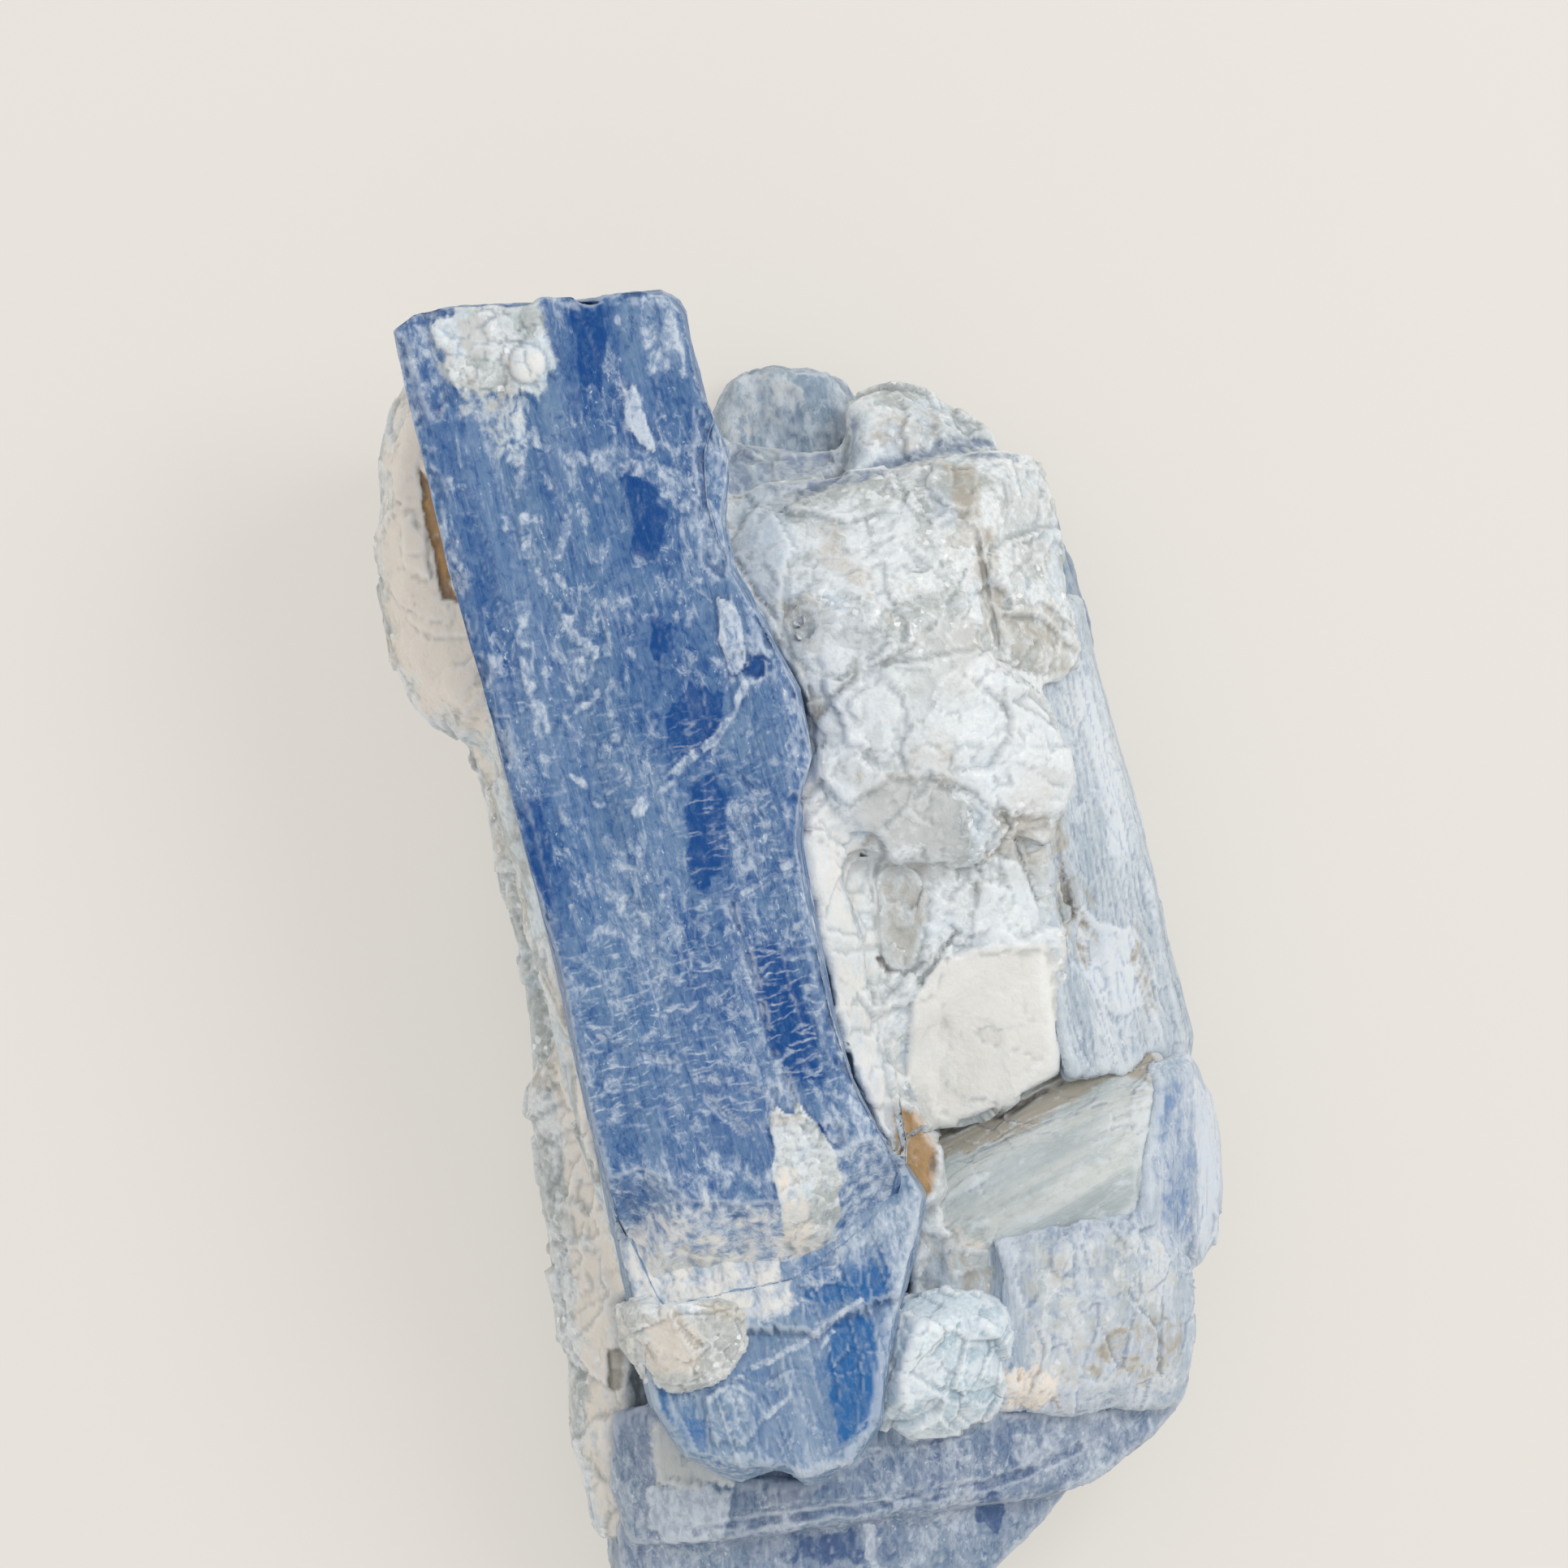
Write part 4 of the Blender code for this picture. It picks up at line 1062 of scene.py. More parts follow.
# %% Place the ledges and cracks
ledges_and_cracks = [
    patch([(705, 550), (775, 548), (830, 575), (875, 640), (885, 700), (850, 660), (815, 600),
           (770, 578), (710, 575)], frost=0.5, soft=1.2, ragged=0.7),
    crack([(918, 843), (900, 885), (882, 912), (850, 935), (832, 955), (800, 985), (786, 998)],
          1.2, 0.1, frost=0.7),
    crack([(899, 1113), (925, 1190), (950, 1280), (978, 1359)], 0.7, -0.25, frost=0.8),
    crack([(846, 1312), (880, 1360), (920, 1390), (948, 1385), (955, 1340)], 0.7, -0.15,
          frost=0.75),
    crack([(740, 1275), (800, 1300), (846, 1312), (880, 1330), (950, 1345)], 0.9, -0.1, frost=0.7),
    crack([(770, 1110), (830, 1105), (900, 1110), (960, 1070), (985, 1060)], 0.9, -0.08, frost=0.7),
    crack([(905, 950), (940, 985), (900, 1020), (930, 1060)], 0.7, -0.08, frost=0.65),
    crack([(640, 545), (645, 620), (652, 695)], 1.4, 0.08, frost=0.5),
    crack([(600, 530), (640, 545), (690, 560), (720, 590), (730, 640)], 1.2, -0.05, frost=0.5),
    crack([(655, 700), (690, 740), (712, 790), (735, 800), (735, 860), (700, 880), (690, 930)],
          1.1, 0.08, frost=0.68),
    crack([(640, 780), (655, 850), (690, 930), (740, 990)], 1.2, 0.06, frost=0.55),
    crack([(700, 640), (690, 700), (712, 790)], 1.2, 0.05, frost=0.55),
    crack([(860, 470), (890, 540), (895, 600)], 0.9, -0.08, frost=0.7),
    crack([(600, 560), (640, 700), (660, 860), (700, 1010)], 1.6, 0.06, frost=0.45),
    crack([(735, 620), (745, 760), (760, 900), (790, 1010)], 1.6, 0.06, frost=0.42),
]
print("ledges_and_cracks:", len(ledges_and_cracks))

# %% Place the ladder of cross cracks
ladder_areas = [
    patch([(832, 932), (960, 930), (1000, 1060), (1030, 1330), (850, 1330), (840, 1100)],
          hatch=0.55, soft=2.0),
    patch([(690, 1160), (1000, 1150), (1040, 1340), (860, 1400), (720, 1380)], hatch=0.85,
          soft=2.0),
    patch([(720, 860), (900, 880), (960, 960), (740, 1000)], hatch=0.45, soft=1.6),
    patch([(600, 840), (700, 830), (720, 1000), (640, 1000)], hatch=0.3, soft=1.6),
]
print("ladder_areas:", len(ladder_areas))


# %% [markdown]
# The carving goes from large to small: first the outline and the level face, then the marks,
# then the crumbs of the crust, and last the foot, which rounds off into the second blade.

# %% Carve the front blade
def keep_within(skin, outline):
    """Draws in points that lie outside an outline seen from above, onto it."""
    flat = skin.points[:, :2]
    outside = np.flatnonzero(outline_depth(flat, outline) < 0)
    nearest = np.full(len(outside), FAR)
    place = flat[outside].copy()
    for start, end in zip(outline, outline[1:] + outline[:1]):
        away, share = segment_distance(flat[outside], start, end)
        on_line = np.asarray(start) + share[:, None] * (np.asarray(end) - np.asarray(start))
        closer = away < nearest
        nearest = np.where(closer, away, nearest)
        place[closer] = on_line[closer]
    skin.points[outside, :2] = place


def level_face(skin):
    """Levels the face and tears its edges. Returns how much of the face each point belongs to."""
    outline = seen(FRONT_OUTLINE)
    top = np.flatnonzero(skin.points[:, 2] > FRONT_FACE - 4.0)
    depth = np.full(len(skin.points), -1.0)
    depth[top] = outline_depth(skin.points[top][:, :2], outline)
    level = np.maximum(ease_between(0.9, 1.5, depth),
                       ease_between(0.15, 0.5, skin.normals[:, 2]))
    face = ease_between(FRONT_FACE - 3.8, FRONT_FACE - 2.6, skin.points[:, 2]) * level
    cleave(skin, 2.4, 22.0, 0.15, 300, across=0.04)
    skin.push *= 1 - 0.4 * face
    skin.lift += face * (FRONT_FACE - skin.points[:, 2])
    bevel = 1 - ease_between(0.0, 1.3, depth[top])
    torn = ease_between(-0.1, 0.5, rough(skin.points[top], 2.2, 3, 320))
    skin.lift[top] -= face[top] * bevel * (0.25 + 0.6 * torn)
    skin.masks["frost"][top] = np.clip(bevel * torn * 0.8, 0, 1)
    return face


def grow_crust(skin, face):
    """Makes the quartz crust crumbly, with the round grain in it."""
    bead, _, tilt = grains(skin.points, 1.4, 340)
    crumbs = 0.22 * (0.5 - bead ** 2) + 0.14 * tilt
    skin.lift += skin.masks["quartz"] * face * crumbs
    away = np.linalg.norm(skin.points[:, :2] - seen([PEARL])[0], axis=1) / PEARL_RADIUS
    dome = np.sqrt(np.clip(1 - away ** 2, 0.0, 1.0))
    skin.lift += face * dome * 0.6
    skin.paint("quartz", face * (away < 1.0))
    skin.paint("shell", face * ease_between(0.1, 0.5, dome) * 0.6)


def round_foot(skin):
    """Rounds off the lower end, so that it runs into the second blade without a step."""
    foot = np.full(len(skin.points), FAR)
    end = seen(FRONT_END)
    for start, stop in zip(end, end[1:]):
        foot = np.minimum(foot, segment_distance(skin.points[:, :2], start, stop)[0])
    foot += 0.7 * rough(skin.points, 2.4, 3, 350)
    slope = np.clip(1 - foot / FOOT_LENGTH, 0.0, 1.0) ** 1.7
    highest = FRONT_FACE + ROOM_ABOVE - (FOOT_DROP + ROOM_ABOVE) * slope
    skin.lift = np.minimum(skin.lift, highest - skin.points[:, 2])


def carve_front():
    """The front blade, with its levelled face, its marks, its crust and its rounded foot."""
    skin = Skin(dense_copy("kyanite_front_blade", 0.205, 170000, swell=0.15, close=0.5), LEAN, 0.9)
    keep_within(skin, seen(FRONT_OUTLINE))
    face = level_face(skin)
    lay(skin, blue_windows + blue_halos + frosted_areas + crust_patches + ledges_and_cracks
        + ladder_areas, seed=330)
    grow_crust(skin, face)
    round_foot(skin)
    settle(skin, 0.035)
    return skin.piece


front = carve_front()
kyanite_material(
    front, "front_blade_kyanite", LEAN, body=tone(84, 120, 166), deep=tone(0, 70, 138),
    pale=tone(134, 158, 190), frosty=0.45, streak=0.4, mottle=0.6, wear=0.35, green=0.2)

# %% [markdown]
# ## The quartz
#
# The white mass between the blades filled the gaps last, so it touches everything. The packed
# solids keep a hair of room between them. Here the quartz is swelled to close it.

# %% Place the smooth faces
smooth_faces = [
    patch([(1118, 1330), (1125, 1240), (1150, 1195), (1200, 1168), (1290, 1165), (1300, 1200),
           (1313, 1260), (1352, 1265), (1350, 1290), (1290, 1350), (1150, 1395)], smooth=0.92,
          shell=1, ragged=0.15, level=0.25),
    patch([(462, 560), (480, 500), (560, 480), (600, 900), (560, 905), (515, 870), (488, 820),
           (468, 740)], smooth=0.6, frost=0.6, cream=1, soft=1.0),
    patch([(1085, 1036), (1098, 1060), (1112, 1066), (1126, 1058), (1140, 1036), (1150, 1060),
           (1146, 1110), (1140, 1150), (1128, 1184), (1105, 1196), (1085, 1180), (1078, 1150),
           (1072, 1090)], smooth=0.6, grey=0.9, ragged=0.4, soft=0.9),
    patch([(1062, 1068), (1155, 1068), (1162, 1190), (1125, 1222), (1078, 1210)], rise_to=23.1,
          soft=1.2, ragged=0.5),
    crack([(1088, 1046), (1076, 1095), (1080, 1150), (1088, 1186)], 0.5, -0.2, grey=0.6),
    crack([(1138, 1046), (1147, 1100), (1142, 1150), (1130, 1184)], 0.5, -0.2, grey=0.6),
    patch([(1084, 1060), (1140, 1060), (1138, 1150), (1120, 1190), (1098, 1186)], dun=0.42,
          soft=0.9),
    patch([(1060, 960), (1130, 955), (1180, 990), (1190, 1060), (1150, 1100), (1140, 1045),
           (1085, 1048), (1050, 1010)], smooth=0.6, grey=0.7, soft=0.8),
    patch([(1110, 800), (1190, 740), (1215, 800), (1180, 850), (1120, 860)], grey=0.5, smooth=0.4,
          soft=1.0),
]
print("smooth_faces:", len(smooth_faces))

# %% Place the flaky plate and the crumbly wedge
flaky_areas = [
    patch([(1000, 900), (1050, 840), (1130, 812), (1200, 800), (1230, 820), (1290, 835),
           (1325, 880), (1342, 960), (1300, 1000), (1245, 1005), (1200, 975), (1160, 958),
           (1100, 958), (1040, 990), (1008, 960)], level=0.45, frost=0.75, soft=0.5),
    patch([(960, 640), (1060, 600), (1130, 620), (1120, 700), (1040, 760), (980, 700)], frost=0.55,
          smooth=0.4, soft=1.6),
    patch([(1000, 760), (1080, 740), (1120, 800), (1060, 850), (1000, 860)], frost=0.55, soft=1.4),
    patch([(1215, 1060), (1265, 1065), (1292, 1110), (1290, 1170), (1200, 1172), (1205, 1110)],
          level=0.3, frost=0.8, deep=0.1),
    patch([(975, 950), (1010, 945), (1060, 1050), (1085, 1180), (1110, 1300), (1120, 1380),
           (1095, 1400), (1060, 1340), (1020, 1200), (985, 1050)], frost=1, shell=0.5, soft=1.2),
]
print("flaky_areas:", len(flaky_areas))

# %% Place the warm and grey areas and the filled hollows
tinted_areas = [
    patch([(1215, 760), (1290, 745), (1330, 790), (1325, 835), (1240, 835)], dun=0.5, soft=1.6,
          ragged=0.8),
    patch([(1160, 570), (1205, 560), (1212, 640), (1180, 650)], dun=0.7, soft=0.9),
    patch([(1195, 640), (1225, 650), (1240, 760), (1215, 790)], dun=0.55, soft=0.8),
    patch([(1240, 600), (1285, 590), (1292, 680), (1255, 700)], grey=0.5, soft=1.0),
    patch([(1060, 500), (1150, 490), (1180, 530), (1080, 550)], dun=0.3, soft=1.4),
    patch([(1112, 1375), (1150, 1385), (1160, 1470), (1165, 1515), (1215, 1515), (1275, 1545),
           (1285, 1620), (1180, 1650), (1105, 1650), (1118, 1560), (1130, 1480), (1095, 1400)],
          rise_to=21.8, soft=1.2, ragged=0.5, frost=0.4),
    patch([(1235, 990), (1290, 1000), (1310, 1100), (1325, 1260), (1285, 1260), (1255, 1100)],
          rise_to=19.6, swell=1.2, soft=1.2, ragged=0.4),
    patch([(1080, 1345), (1130, 1360), (1162, 1415), (1164, 1475), (1125, 1500), (1090, 1440)],
          rise_to=26.0, soft=1.0, ragged=0.3),
    patch([(1165, 1540), (1230, 1560), (1270, 1600), (1200, 1630), (1165, 1610)], dun=0.5,
          deep=0.3, soft=1.2),
    patch([(1120, 1560), (1170, 1550), (1190, 1640), (1120, 1680)], deep=0.45, frost=0.4, soft=1.2),
    patch([(900, 560), (980, 590), (965, 680), (985, 800), (940, 760), (900, 690)], blue=0.9,
          soft=2.0),
    patch([(1150, 600), (1185, 610), (1180, 650), (1150, 640)], blue=0.8, soft=1.4),
    patch([(1225, 570), (1290, 565), (1300, 640), (1290, 720), (1240, 700)], deep=0.2, grey=0.4,
          soft=1.4),
    patch([(950, 725), (1012, 720), (1028, 790), (975, 810)], rise_to=27.2, dun=0.35, soft=1.4,
          ragged=0.9),
    patch([(880, 530), (1000, 535), (1050, 500), (1070, 560), (980, 610), (890, 610)], blue=1,
          deep=0.5, soft=2.2, ragged=0.8),
    patch([(516, 575), (535, 590), (550, 670), (562, 742), (545, 736), (528, 660)], stain=1,
          ragged=0.4, level=-0.3),
    patch([(520, 585), (536, 610), (550, 680), (560, 735), (540, 700), (524, 640)], amber=0.6,
          soft=0.7),
    patch([(490, 632), (512, 628), (533, 718), (515, 712), (498, 690)], frost=0.9, level=0.35,
          ragged=0.8),
    patch([(583, 890), (600, 900), (628, 1000), (605, 985), (583, 940)], cream=0.6),
    patch([(675, 1290), (740, 1290), (770, 1560), (770, 1930), (740, 1930), (700, 1540)],
          cream=0.7, frost=0.5, soft=1.2),
    patch([(750, 1670), (766, 1668), (768, 1720), (752, 1722)], dun=1, level=-0.5),
    patch([(1104, 1362), (1130, 1368), (1152, 1415), (1152, 1470), (1112, 1482), (1104, 1420)],
          amber=1, smooth=0.85, soft=0.6),
    patch([(1138, 1395), (1152, 1415), (1154, 1450), (1144, 1440)], umber=0.6, soft=0.4),
]
print("tinted_areas:", len(tinted_areas))

# %% Place the quartz cracks and rims
quartz_cracks = [
    # The long crease under the rear blades is sunk and painted blue-grey, as painted shade in the
    # crease.
    patch([(970, 604), (1050, 574), (1120, 548), (1180, 534), (1268, 548), (1255, 562),
           (1180, 554), (1120, 568), (1050, 594), (990, 612)], deep=0.6, blue=1, level=-0.4,
          soft=0.9, ragged=0.5),
    patch([(1090, 515), (1180, 510), (1250, 535), (1180, 548), (1090, 560)], blue=0.5, soft=1.6),
    crack([(1198, 640), (1210, 700), (1225, 760), (1230, 820)], 0.6, -0.6, grey=0.7),
    crack([(1084, 1180), (1098, 1197), (1118, 1199), (1136, 1186)], 0.6, -0.3, umber=0.5,
          whole=True),
    crack([(1133, 1214), (1150, 1188), (1166, 1166), (1180, 1150)], 0.7, -0.35, umber=0.5,
          whole=True),
    crack([(1000, 880), (1060, 830), (1120, 800), (1160, 760), (1190, 700)], 0.4, -0.3, grey=0.5),
    crack([(905, 690), (940, 740), (985, 800), (1000, 880)], 0.5, -0.4, grey=0.6),
    crack([(1235, 1000), (1262, 1060), (1290, 1120), (1300, 1200)], 0.5, -0.5, grey=0.7),
    # Along the lower edge of the smooth face the crack is sunk and painted grey, as painted shade
    # of the crevice below it.
    crack([(1165, 1394), (1220, 1380), (1290, 1352)], 0.5, -0.4, grey=0.9),
]
print("quartz_cracks:", len(quartz_cracks))


# %% Carve the quartz
SWELL = 0.3                          # mm


def carve_quartz():
    """Swells and breaks up the quartz, then lays its smooth faces, plates and cracks."""
    skin = Skin(dense_copy("quartz_matrix", 0.32, 170000, swell=SWELL, close=0.9), LEAN)
    break_up(skin, 6.5, 0.5, 400, crumbs=0.03)
    skin.push += 0.5 * rough(skin.points, 7.0, 2, 410)
    lay(skin, smooth_faces + flaky_areas + tinted_areas + quartz_cracks, seed=420)
    settle(skin, 0.05)
    return skin.piece


quartz = carve_quartz()
quartz_material(quartz, "milky_quartz", LEAN)

# %% [markdown]
# The small white crystal and the lump are quartz too. The crystal is the clearer of the two,
# with flat bright faces. The lump is waxy and cream.

# %% Carve the two small quartz pieces
def carve_white_crystal():
    """The clear crystal, in flat facets of two sizes with frost between them."""
    skin = Skin(dense_copy("quartz_white_crystal", 0.2, 36000, swell=SWELL))
    skin.push += 0.6 * grains(skin.points, 4.6, 450)[2]
    skin.push += 0.25 * grains(skin.points, 1.9, 452)[2]
    skin.paint("frost", 0.5 + 0.5 * rough(skin.points, 2.0, 3, 455))
    settle(skin, 0.04)
    return skin.piece


def carve_lower_lump():
    """The waxy lump, crumbly, with its cream side to the left."""
    skin = Skin(dense_copy("quartz_lower_lump", 0.2, 24000, swell=SWELL), LEAN)
    skin.push += 0.5 * grains(skin.points, 4.6, 460)[2]
    skin.push += 0.2 * grains(skin.points, 1.6, 462)[2]
    lay(skin, [patch([(786, 1625), (830, 1612), (870, 1640), (860, 1690), (800, 1690)],
                     cream=0.8, dun=0.35, smooth=0.5, soft=1.4)], seed=465)
    settle(skin, 0.045)
    return skin.piece


white_crystal = carve_white_crystal()
quartz_material(
    white_crystal, "clear_quartz", 0.0, white=tone(228, 241, 248), window=tone(178, 200, 214),
    warm=tone(216, 230, 238), wear=0.5)
lower_lump = carve_lower_lump()
quartz_material(
    lower_lump, "waxy_quartz", LEAN, white=tone(226, 226, 220), window=tone(192, 196, 194),
    warm=tone(208, 200, 180))

# %% [markdown]
# ## The other blades
#
# They follow the same recipe as the front blade. The lower they lie, the paler and greyer they
# are, and each has its own few marks.

# %% Place the second blade's marks
second_marks = [
    patch([(760, 1500), (860, 1545), (960, 1540), (1020, 1505), (1080, 1440), (1112, 1440),
           (1106, 1510), (1095, 1600), (1000, 1640), (860, 1640), (785, 1630)], rise_to=29.4,
          soft=0.8, ragged=0.3),
    patch([(1070, 1440), (1150, 1450), (1140, 1600), (1070, 1600)], rise_to=29.4, soft=0.8,
          ragged=0.3, tops_only=True),
    patch([(770, 1530), (960, 1550), (990, 1600), (900, 1650), (785, 1650)], frost=1, shell=0.55,
          soft=2.0, ragged=1.0),
    patch([(950, 1560), (1060, 1500), (1130, 1450), (1150, 1500), (1100, 1560), (990, 1600)],
          frost=0.45, soft=1.6, ragged=0.9),
    patch([(992, 1550), (1060, 1546), (1108, 1556), (1100, 1600), (1040, 1606), (995, 1600)],
          deep=0.7, ragged=0.9, soft=1.0),
    patch([(985, 1540), (1110, 1530), (1125, 1600), (1050, 1640), (985, 1620)], blue=0.7, soft=1.4),
    patch([(1018, 1640), (1045, 1616), (1075, 1620), (1082, 1700), (1070, 1765), (1035, 1771),
           (1020, 1710)], deep=0.9, soft=1.0),
    patch([(1000, 1620), (1085, 1600), (1098, 1700), (1085, 1780), (1020, 1785)], blue=0.5,
          soft=1.4),
    patch([(880, 1790), (960, 1812), (1040, 1800), (1100, 1740), (1125, 1640), (1118, 1560),
           (1150, 1560), (1140, 1760), (1040, 1850), (880, 1850)], frost=0.6, soft=1.0),
    patch([(872, 1722), (900, 1705), (935, 1718), (945, 1745), (915, 1781), (880, 1770)],
          frost=0.35, level=0.2),
    patch([(800, 1700), (860, 1712), (880, 1790), (850, 1780), (810, 1740)], deep=0.45, soft=0.9),
    patch([(1100, 1470), (1150, 1470), (1160, 1560), (1100, 1600)], frost=0.5, soft=1.0),
    crack([(872, 1722), (900, 1705), (935, 1718), (945, 1745), (915, 1781), (880, 1770),
           (872, 1722)], 0.9, 0.05, frost=0.5),
    crack([(875, 1722), (905, 1695), (960, 1668), (1010, 1640), (1060, 1600)], 0.9, 0.05,
          frost=0.75),
    crack([(945, 1745), (1000, 1690), (1025, 1640)], 0.8, 0.05, frost=0.6),
    patch([(1085, 1480), (1150, 1490), (1160, 1560), (1130, 1620), (1125, 1760), (1095, 1780),
           (1098, 1620)], frost=0.75, soft=1.2),
]


# %% Carve the second blade
BLADE_SWELL = 0.42                   # mm, so that the crystals meet the quartz and each other


def carve_blade(node, cell, faces, lean, ledges, marks, seed):
    """A blade with strips, small chips at its edges, and its own marks. Returns its skin."""
    skin = Skin(dense_copy(node, cell, faces, swell=BLADE_SWELL, close=0.7), lean, 0.7)
    cleave(skin, *ledges, seed, across=0.4 * ledges[2])
    skin.push += 0.02 * (hackly(skin.grain, (1.2, 2.4, 1.2), 2, seed + 60) - 0.5)
    lay(skin, marks, seed=seed + 70)
    return skin


skin = carve_blade("kyanite_second_blade", 0.2, 95000, LEAN, (1.8, 14.0, 0.18), second_marks, 500)
settle(skin, 0.04)
kyanite_material(
    skin.piece, "second_blade_kyanite", LEAN, body=tone(122, 147, 179), deep=tone(34, 102, 166),
    pale=tone(164, 182, 202), frosty=0.35, streak=0.6, mottle=0.4, wear=0.35, green=0.3)

# %% Carve the right blade
right_marks = [
    patch([(1284, 985), (1312, 990), (1335, 1060), (1352, 1130), (1350, 1195), (1318, 1170),
           (1296, 1090)], dun=0.5, level=-0.2, soft=2.0, ragged=0.8),
    patch([(1296, 1060), (1312, 1060), (1330, 1110), (1330, 1150), (1306, 1120)], umber=0.42,
          level=-0.3, ragged=0.8, soft=1.6),
    patch([(1320, 1120), (1400, 1150), (1415, 1200), (1420, 1250), (1380, 1255), (1335, 1200)],
          frost=1, level=0.2, ragged=0.8, soft=0.8),
    patch([(1390, 1110), (1412, 1150), (1434, 1250), (1414, 1260)], dun=0.55, ragged=0.6, soft=1.6),
    patch([(1325, 830), (1350, 830), (1400, 1060), (1375, 1080)], frost=0.7, soft=0.8),
]
skin = carve_blade("kyanite_right_blade", 0.21, 85000, LEAN, (1.2, 14.0, 0.22), right_marks, 540)
settle(skin, 0.045)
kyanite_material(
    skin.piece, "right_blade_kyanite", LEAN, body=tone(194, 204, 212), deep=tone(134, 154, 180),
    pale=tone(228, 233, 235), frosty=0.5, streak=0.9, mottle=0.45)

# %% Carve the cross blade
cross_marks = [
    patch([(1240, 1420), (1330, 1390), (1400, 1400), (1420, 1450), (1390, 1520), (1270, 1560),
           (1220, 1500)], smooth=0.85, soft=1.2),
    # The dun band along the upper edge, and the sunk umber crack in it, are painted shade of the
    # crevice under the quartz face.
    patch([(1150, 1396), (1240, 1368), (1300, 1330), (1340, 1285), (1400, 1270), (1460, 1305),
           (1440, 1340), (1380, 1322), (1330, 1356), (1240, 1404), (1160, 1430)], dun=0.85,
          soft=1.2),
    crack([(1160, 1400), (1240, 1372), (1310, 1335)], 0.6, -0.3, umber=0.5),
    patch([(1160, 1515), (1212, 1508), (1216, 1530), (1165, 1545)], blue=0.9, soft=0.7),
    crack([(1170, 1430), (1250, 1400), (1330, 1370), (1400, 1345)], 0.4, -0.2, grey=0.6),
    patch([(1160, 1500), (1260, 1560), (1250, 1590), (1160, 1570)], cream=0.5, soft=1.0),
]
CROSS_LEAN = -62.0
skin = carve_blade("kyanite_cross_blade", 0.2, 60000, CROSS_LEAN, (2.2, 16.0, 0.26), cross_marks,
                   560)
settle(skin, 0.05)
kyanite_material(
    skin.piece, "cross_blade_kyanite", CROSS_LEAN, body=tone(202, 207, 204),
    deep=tone(166, 174, 170), pale=tone(218, 222, 222), frosty=0.25, streak=0.8, mottle=0.35,
    wear=0.5)

# %% Carve the lower right blades
LOWER_LEAN = 3.0
lower_right_marks = [
    patch([(1425, 1345), (1462, 1340), (1478, 1430), (1475, 1540), (1440, 1545), (1425, 1450)],
          blue=0.75, deep=0.3, soft=1.4, ragged=0.8),
    patch([(1475, 1320), (1508, 1360), (1508, 1540), (1480, 1560)], frost=0.8, soft=0.8),
    patch([(1230, 1690), (1300, 1690), (1310, 1735), (1240, 1745)], cream=0.8, stain=0.2, soft=1.0),
    patch([(1260, 1530), (1440, 1520), (1470, 1600), (1460, 1720), (1270, 1700)], frost=0.45,
          grey=0.3, quartz=0.5, soft=2.0),
    patch([(1360, 1640), (1460, 1620), (1465, 1700), (1400, 1710), (1330, 1690)], dun=0.45,
          soft=1.6),
]
skin = carve_blade("kyanite_lower_right_blade", 0.21, 90000, LOWER_LEAN, (1.3, 9.0, 0.14),
                   lower_right_marks, 580)
crumbly = ease_between(-17.0, -20.0, skin.points[:, 1])
skin.push += crumbly * 0.3 * grains(skin.grain, (2.4, 4.4, 2.4), 590)[2]
settle(skin, 0.05)
kyanite_material(
    skin.piece, "lower_right_kyanite", LOWER_LEAN, body=tone(188, 198, 210),
    deep=tone(104, 138, 184), pale=tone(222, 227, 232), frosty=0.6, streak=0.8, mottle=0.35)

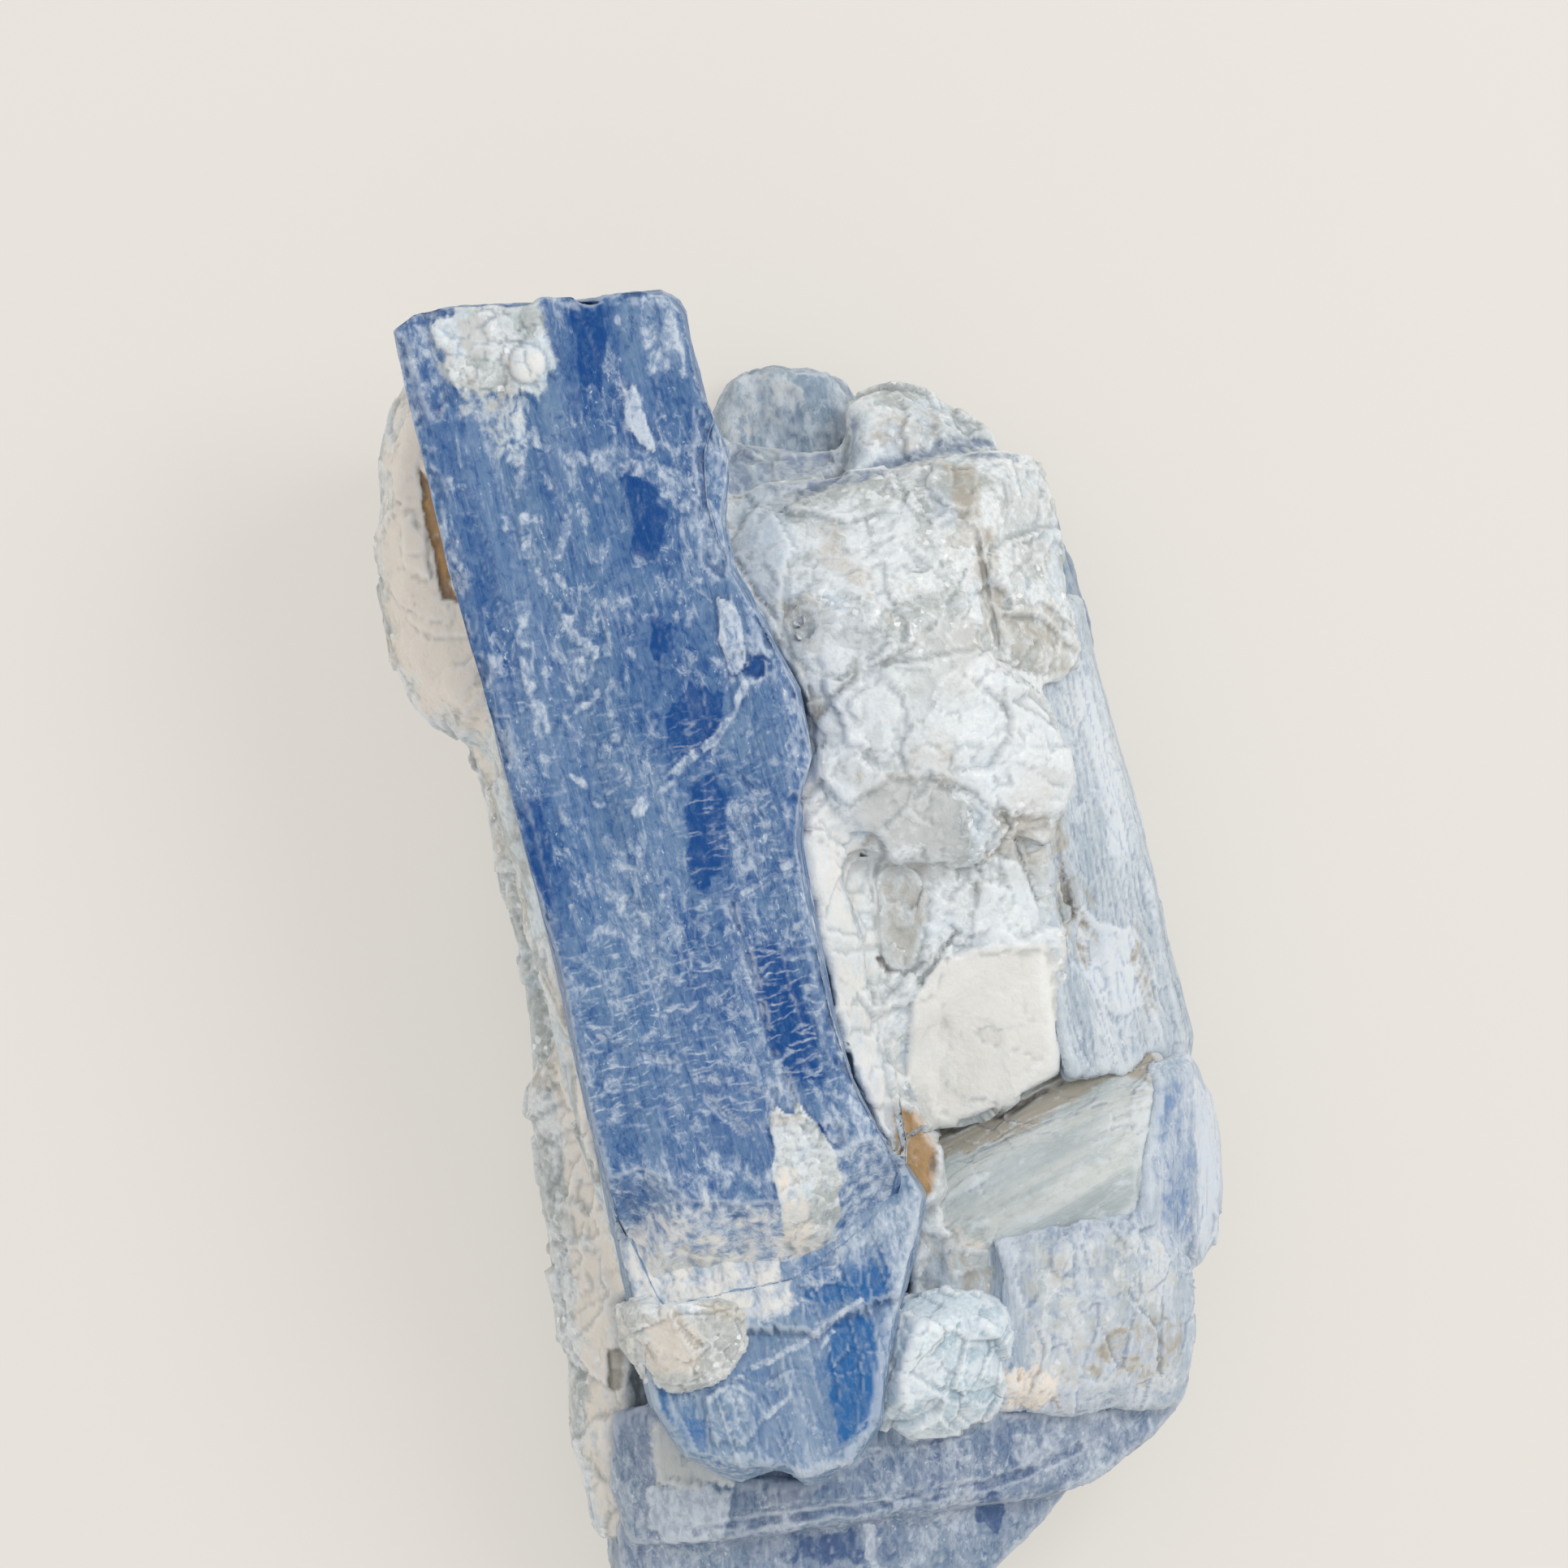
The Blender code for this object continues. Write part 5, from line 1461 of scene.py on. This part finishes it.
# %% Carve the base blades
BASE_LEAN = 6.0
base_marks = [
    patch([(1205, 1850), (1230, 1845), (1240, 1870), (1232, 1890), (1208, 1885)], deep=1),
    patch([(800, 1750), (860, 1745), (908, 1780), (905, 1833), (806, 1835)], grey=0.7, quartz=0.8,
          level=0.3, soft=0.9, smooth=0.4),
    patch([(796, 1835), (850, 1830), (900, 1840), (890, 1900), (830, 1910), (796, 1890)], frost=1,
          level=0.4, soft=0.8, smooth=0.4),
    # The long ledge line is sunk, and painted a darker blue as painted shade under the ledge.
    crack([(856, 1892), (960, 1876), (1080, 1860), (1160, 1845), (1250, 1825), (1330, 1790)], 1.1,
          -0.3, blue=0.55),
    crack([(905, 1868), (1000, 1858), (1100, 1846), (1200, 1832)], 0.35, -0.2, frost=0.8),
    crack([(905, 1818), (1000, 1806), (1100, 1790), (1200, 1766)], 0.4, -0.2, frost=0.7),
    patch([(905, 1822), (1100, 1790), (1250, 1768), (1260, 1815), (1100, 1842), (905, 1862)],
          blue=0.5, soft=1.0),
    patch([(985, 1902), (1062, 1886), (1070, 1932), (970, 1932)], deep=0.8, soft=0.8),
    patch([(1062, 1886), (1080, 1884), (1084, 1932), (1066, 1932)], frost=0.9, soft=0.5),
    crack([(1200, 1745), (1300, 1735), (1380, 1735), (1455, 1725)], 0.6, -0.6, stain=0.15,
          grey=0.6),
    patch([(960, 1890), (1110, 1880), (1110, 1932), (960, 1932)], deep=0.5, soft=1.2),
    patch([(1250, 1760), (1420, 1740), (1440, 1800), (1340, 1850), (1250, 1830)], frost=0.4,
          soft=1.4),
]
skin = carve_blade("kyanite_base_blades", 0.24, 100000, BASE_LEAN, (1.3, 9.0, 0.12), base_marks,
                   600)
settle(skin, 0.05)
kyanite_material(
    skin.piece, "base_blades_kyanite", BASE_LEAN, body=tone(134, 151, 177), deep=tone(70, 96, 140),
    pale=tone(178, 188, 202), frosty=0.5, streak=0.7, mottle=0.5)

# %% Carve the rear blades
REAR_LEAN = 10.0
rear_marks = [
    patch([(1030, 480), (1062, 500), (1050, 570), (1000, 560)], frost=0.6, soft=1.4),
    patch([(880, 470), (960, 450), (1000, 470), (960, 520), (890, 560)], frost=0.5, grey=0.4,
          soft=2.0),
]
skin = carve_blade("kyanite_rear_blades", 0.38, 80000, REAR_LEAN, (1.6, 9.0, 0.25), rear_marks,
                   620)
skin.push += 0.3 * rough(skin.points, 1.8, 3, 640)
settle(skin, 0.06)
kyanite_material(
    skin.piece, "rear_blades_kyanite", REAR_LEAN, body=tone(150, 166, 184),
    deep=tone(104, 126, 156), pale=tone(188, 198, 206), frosty=0.9, streak=0.5, mottle=0.6,
    wear=0.1)
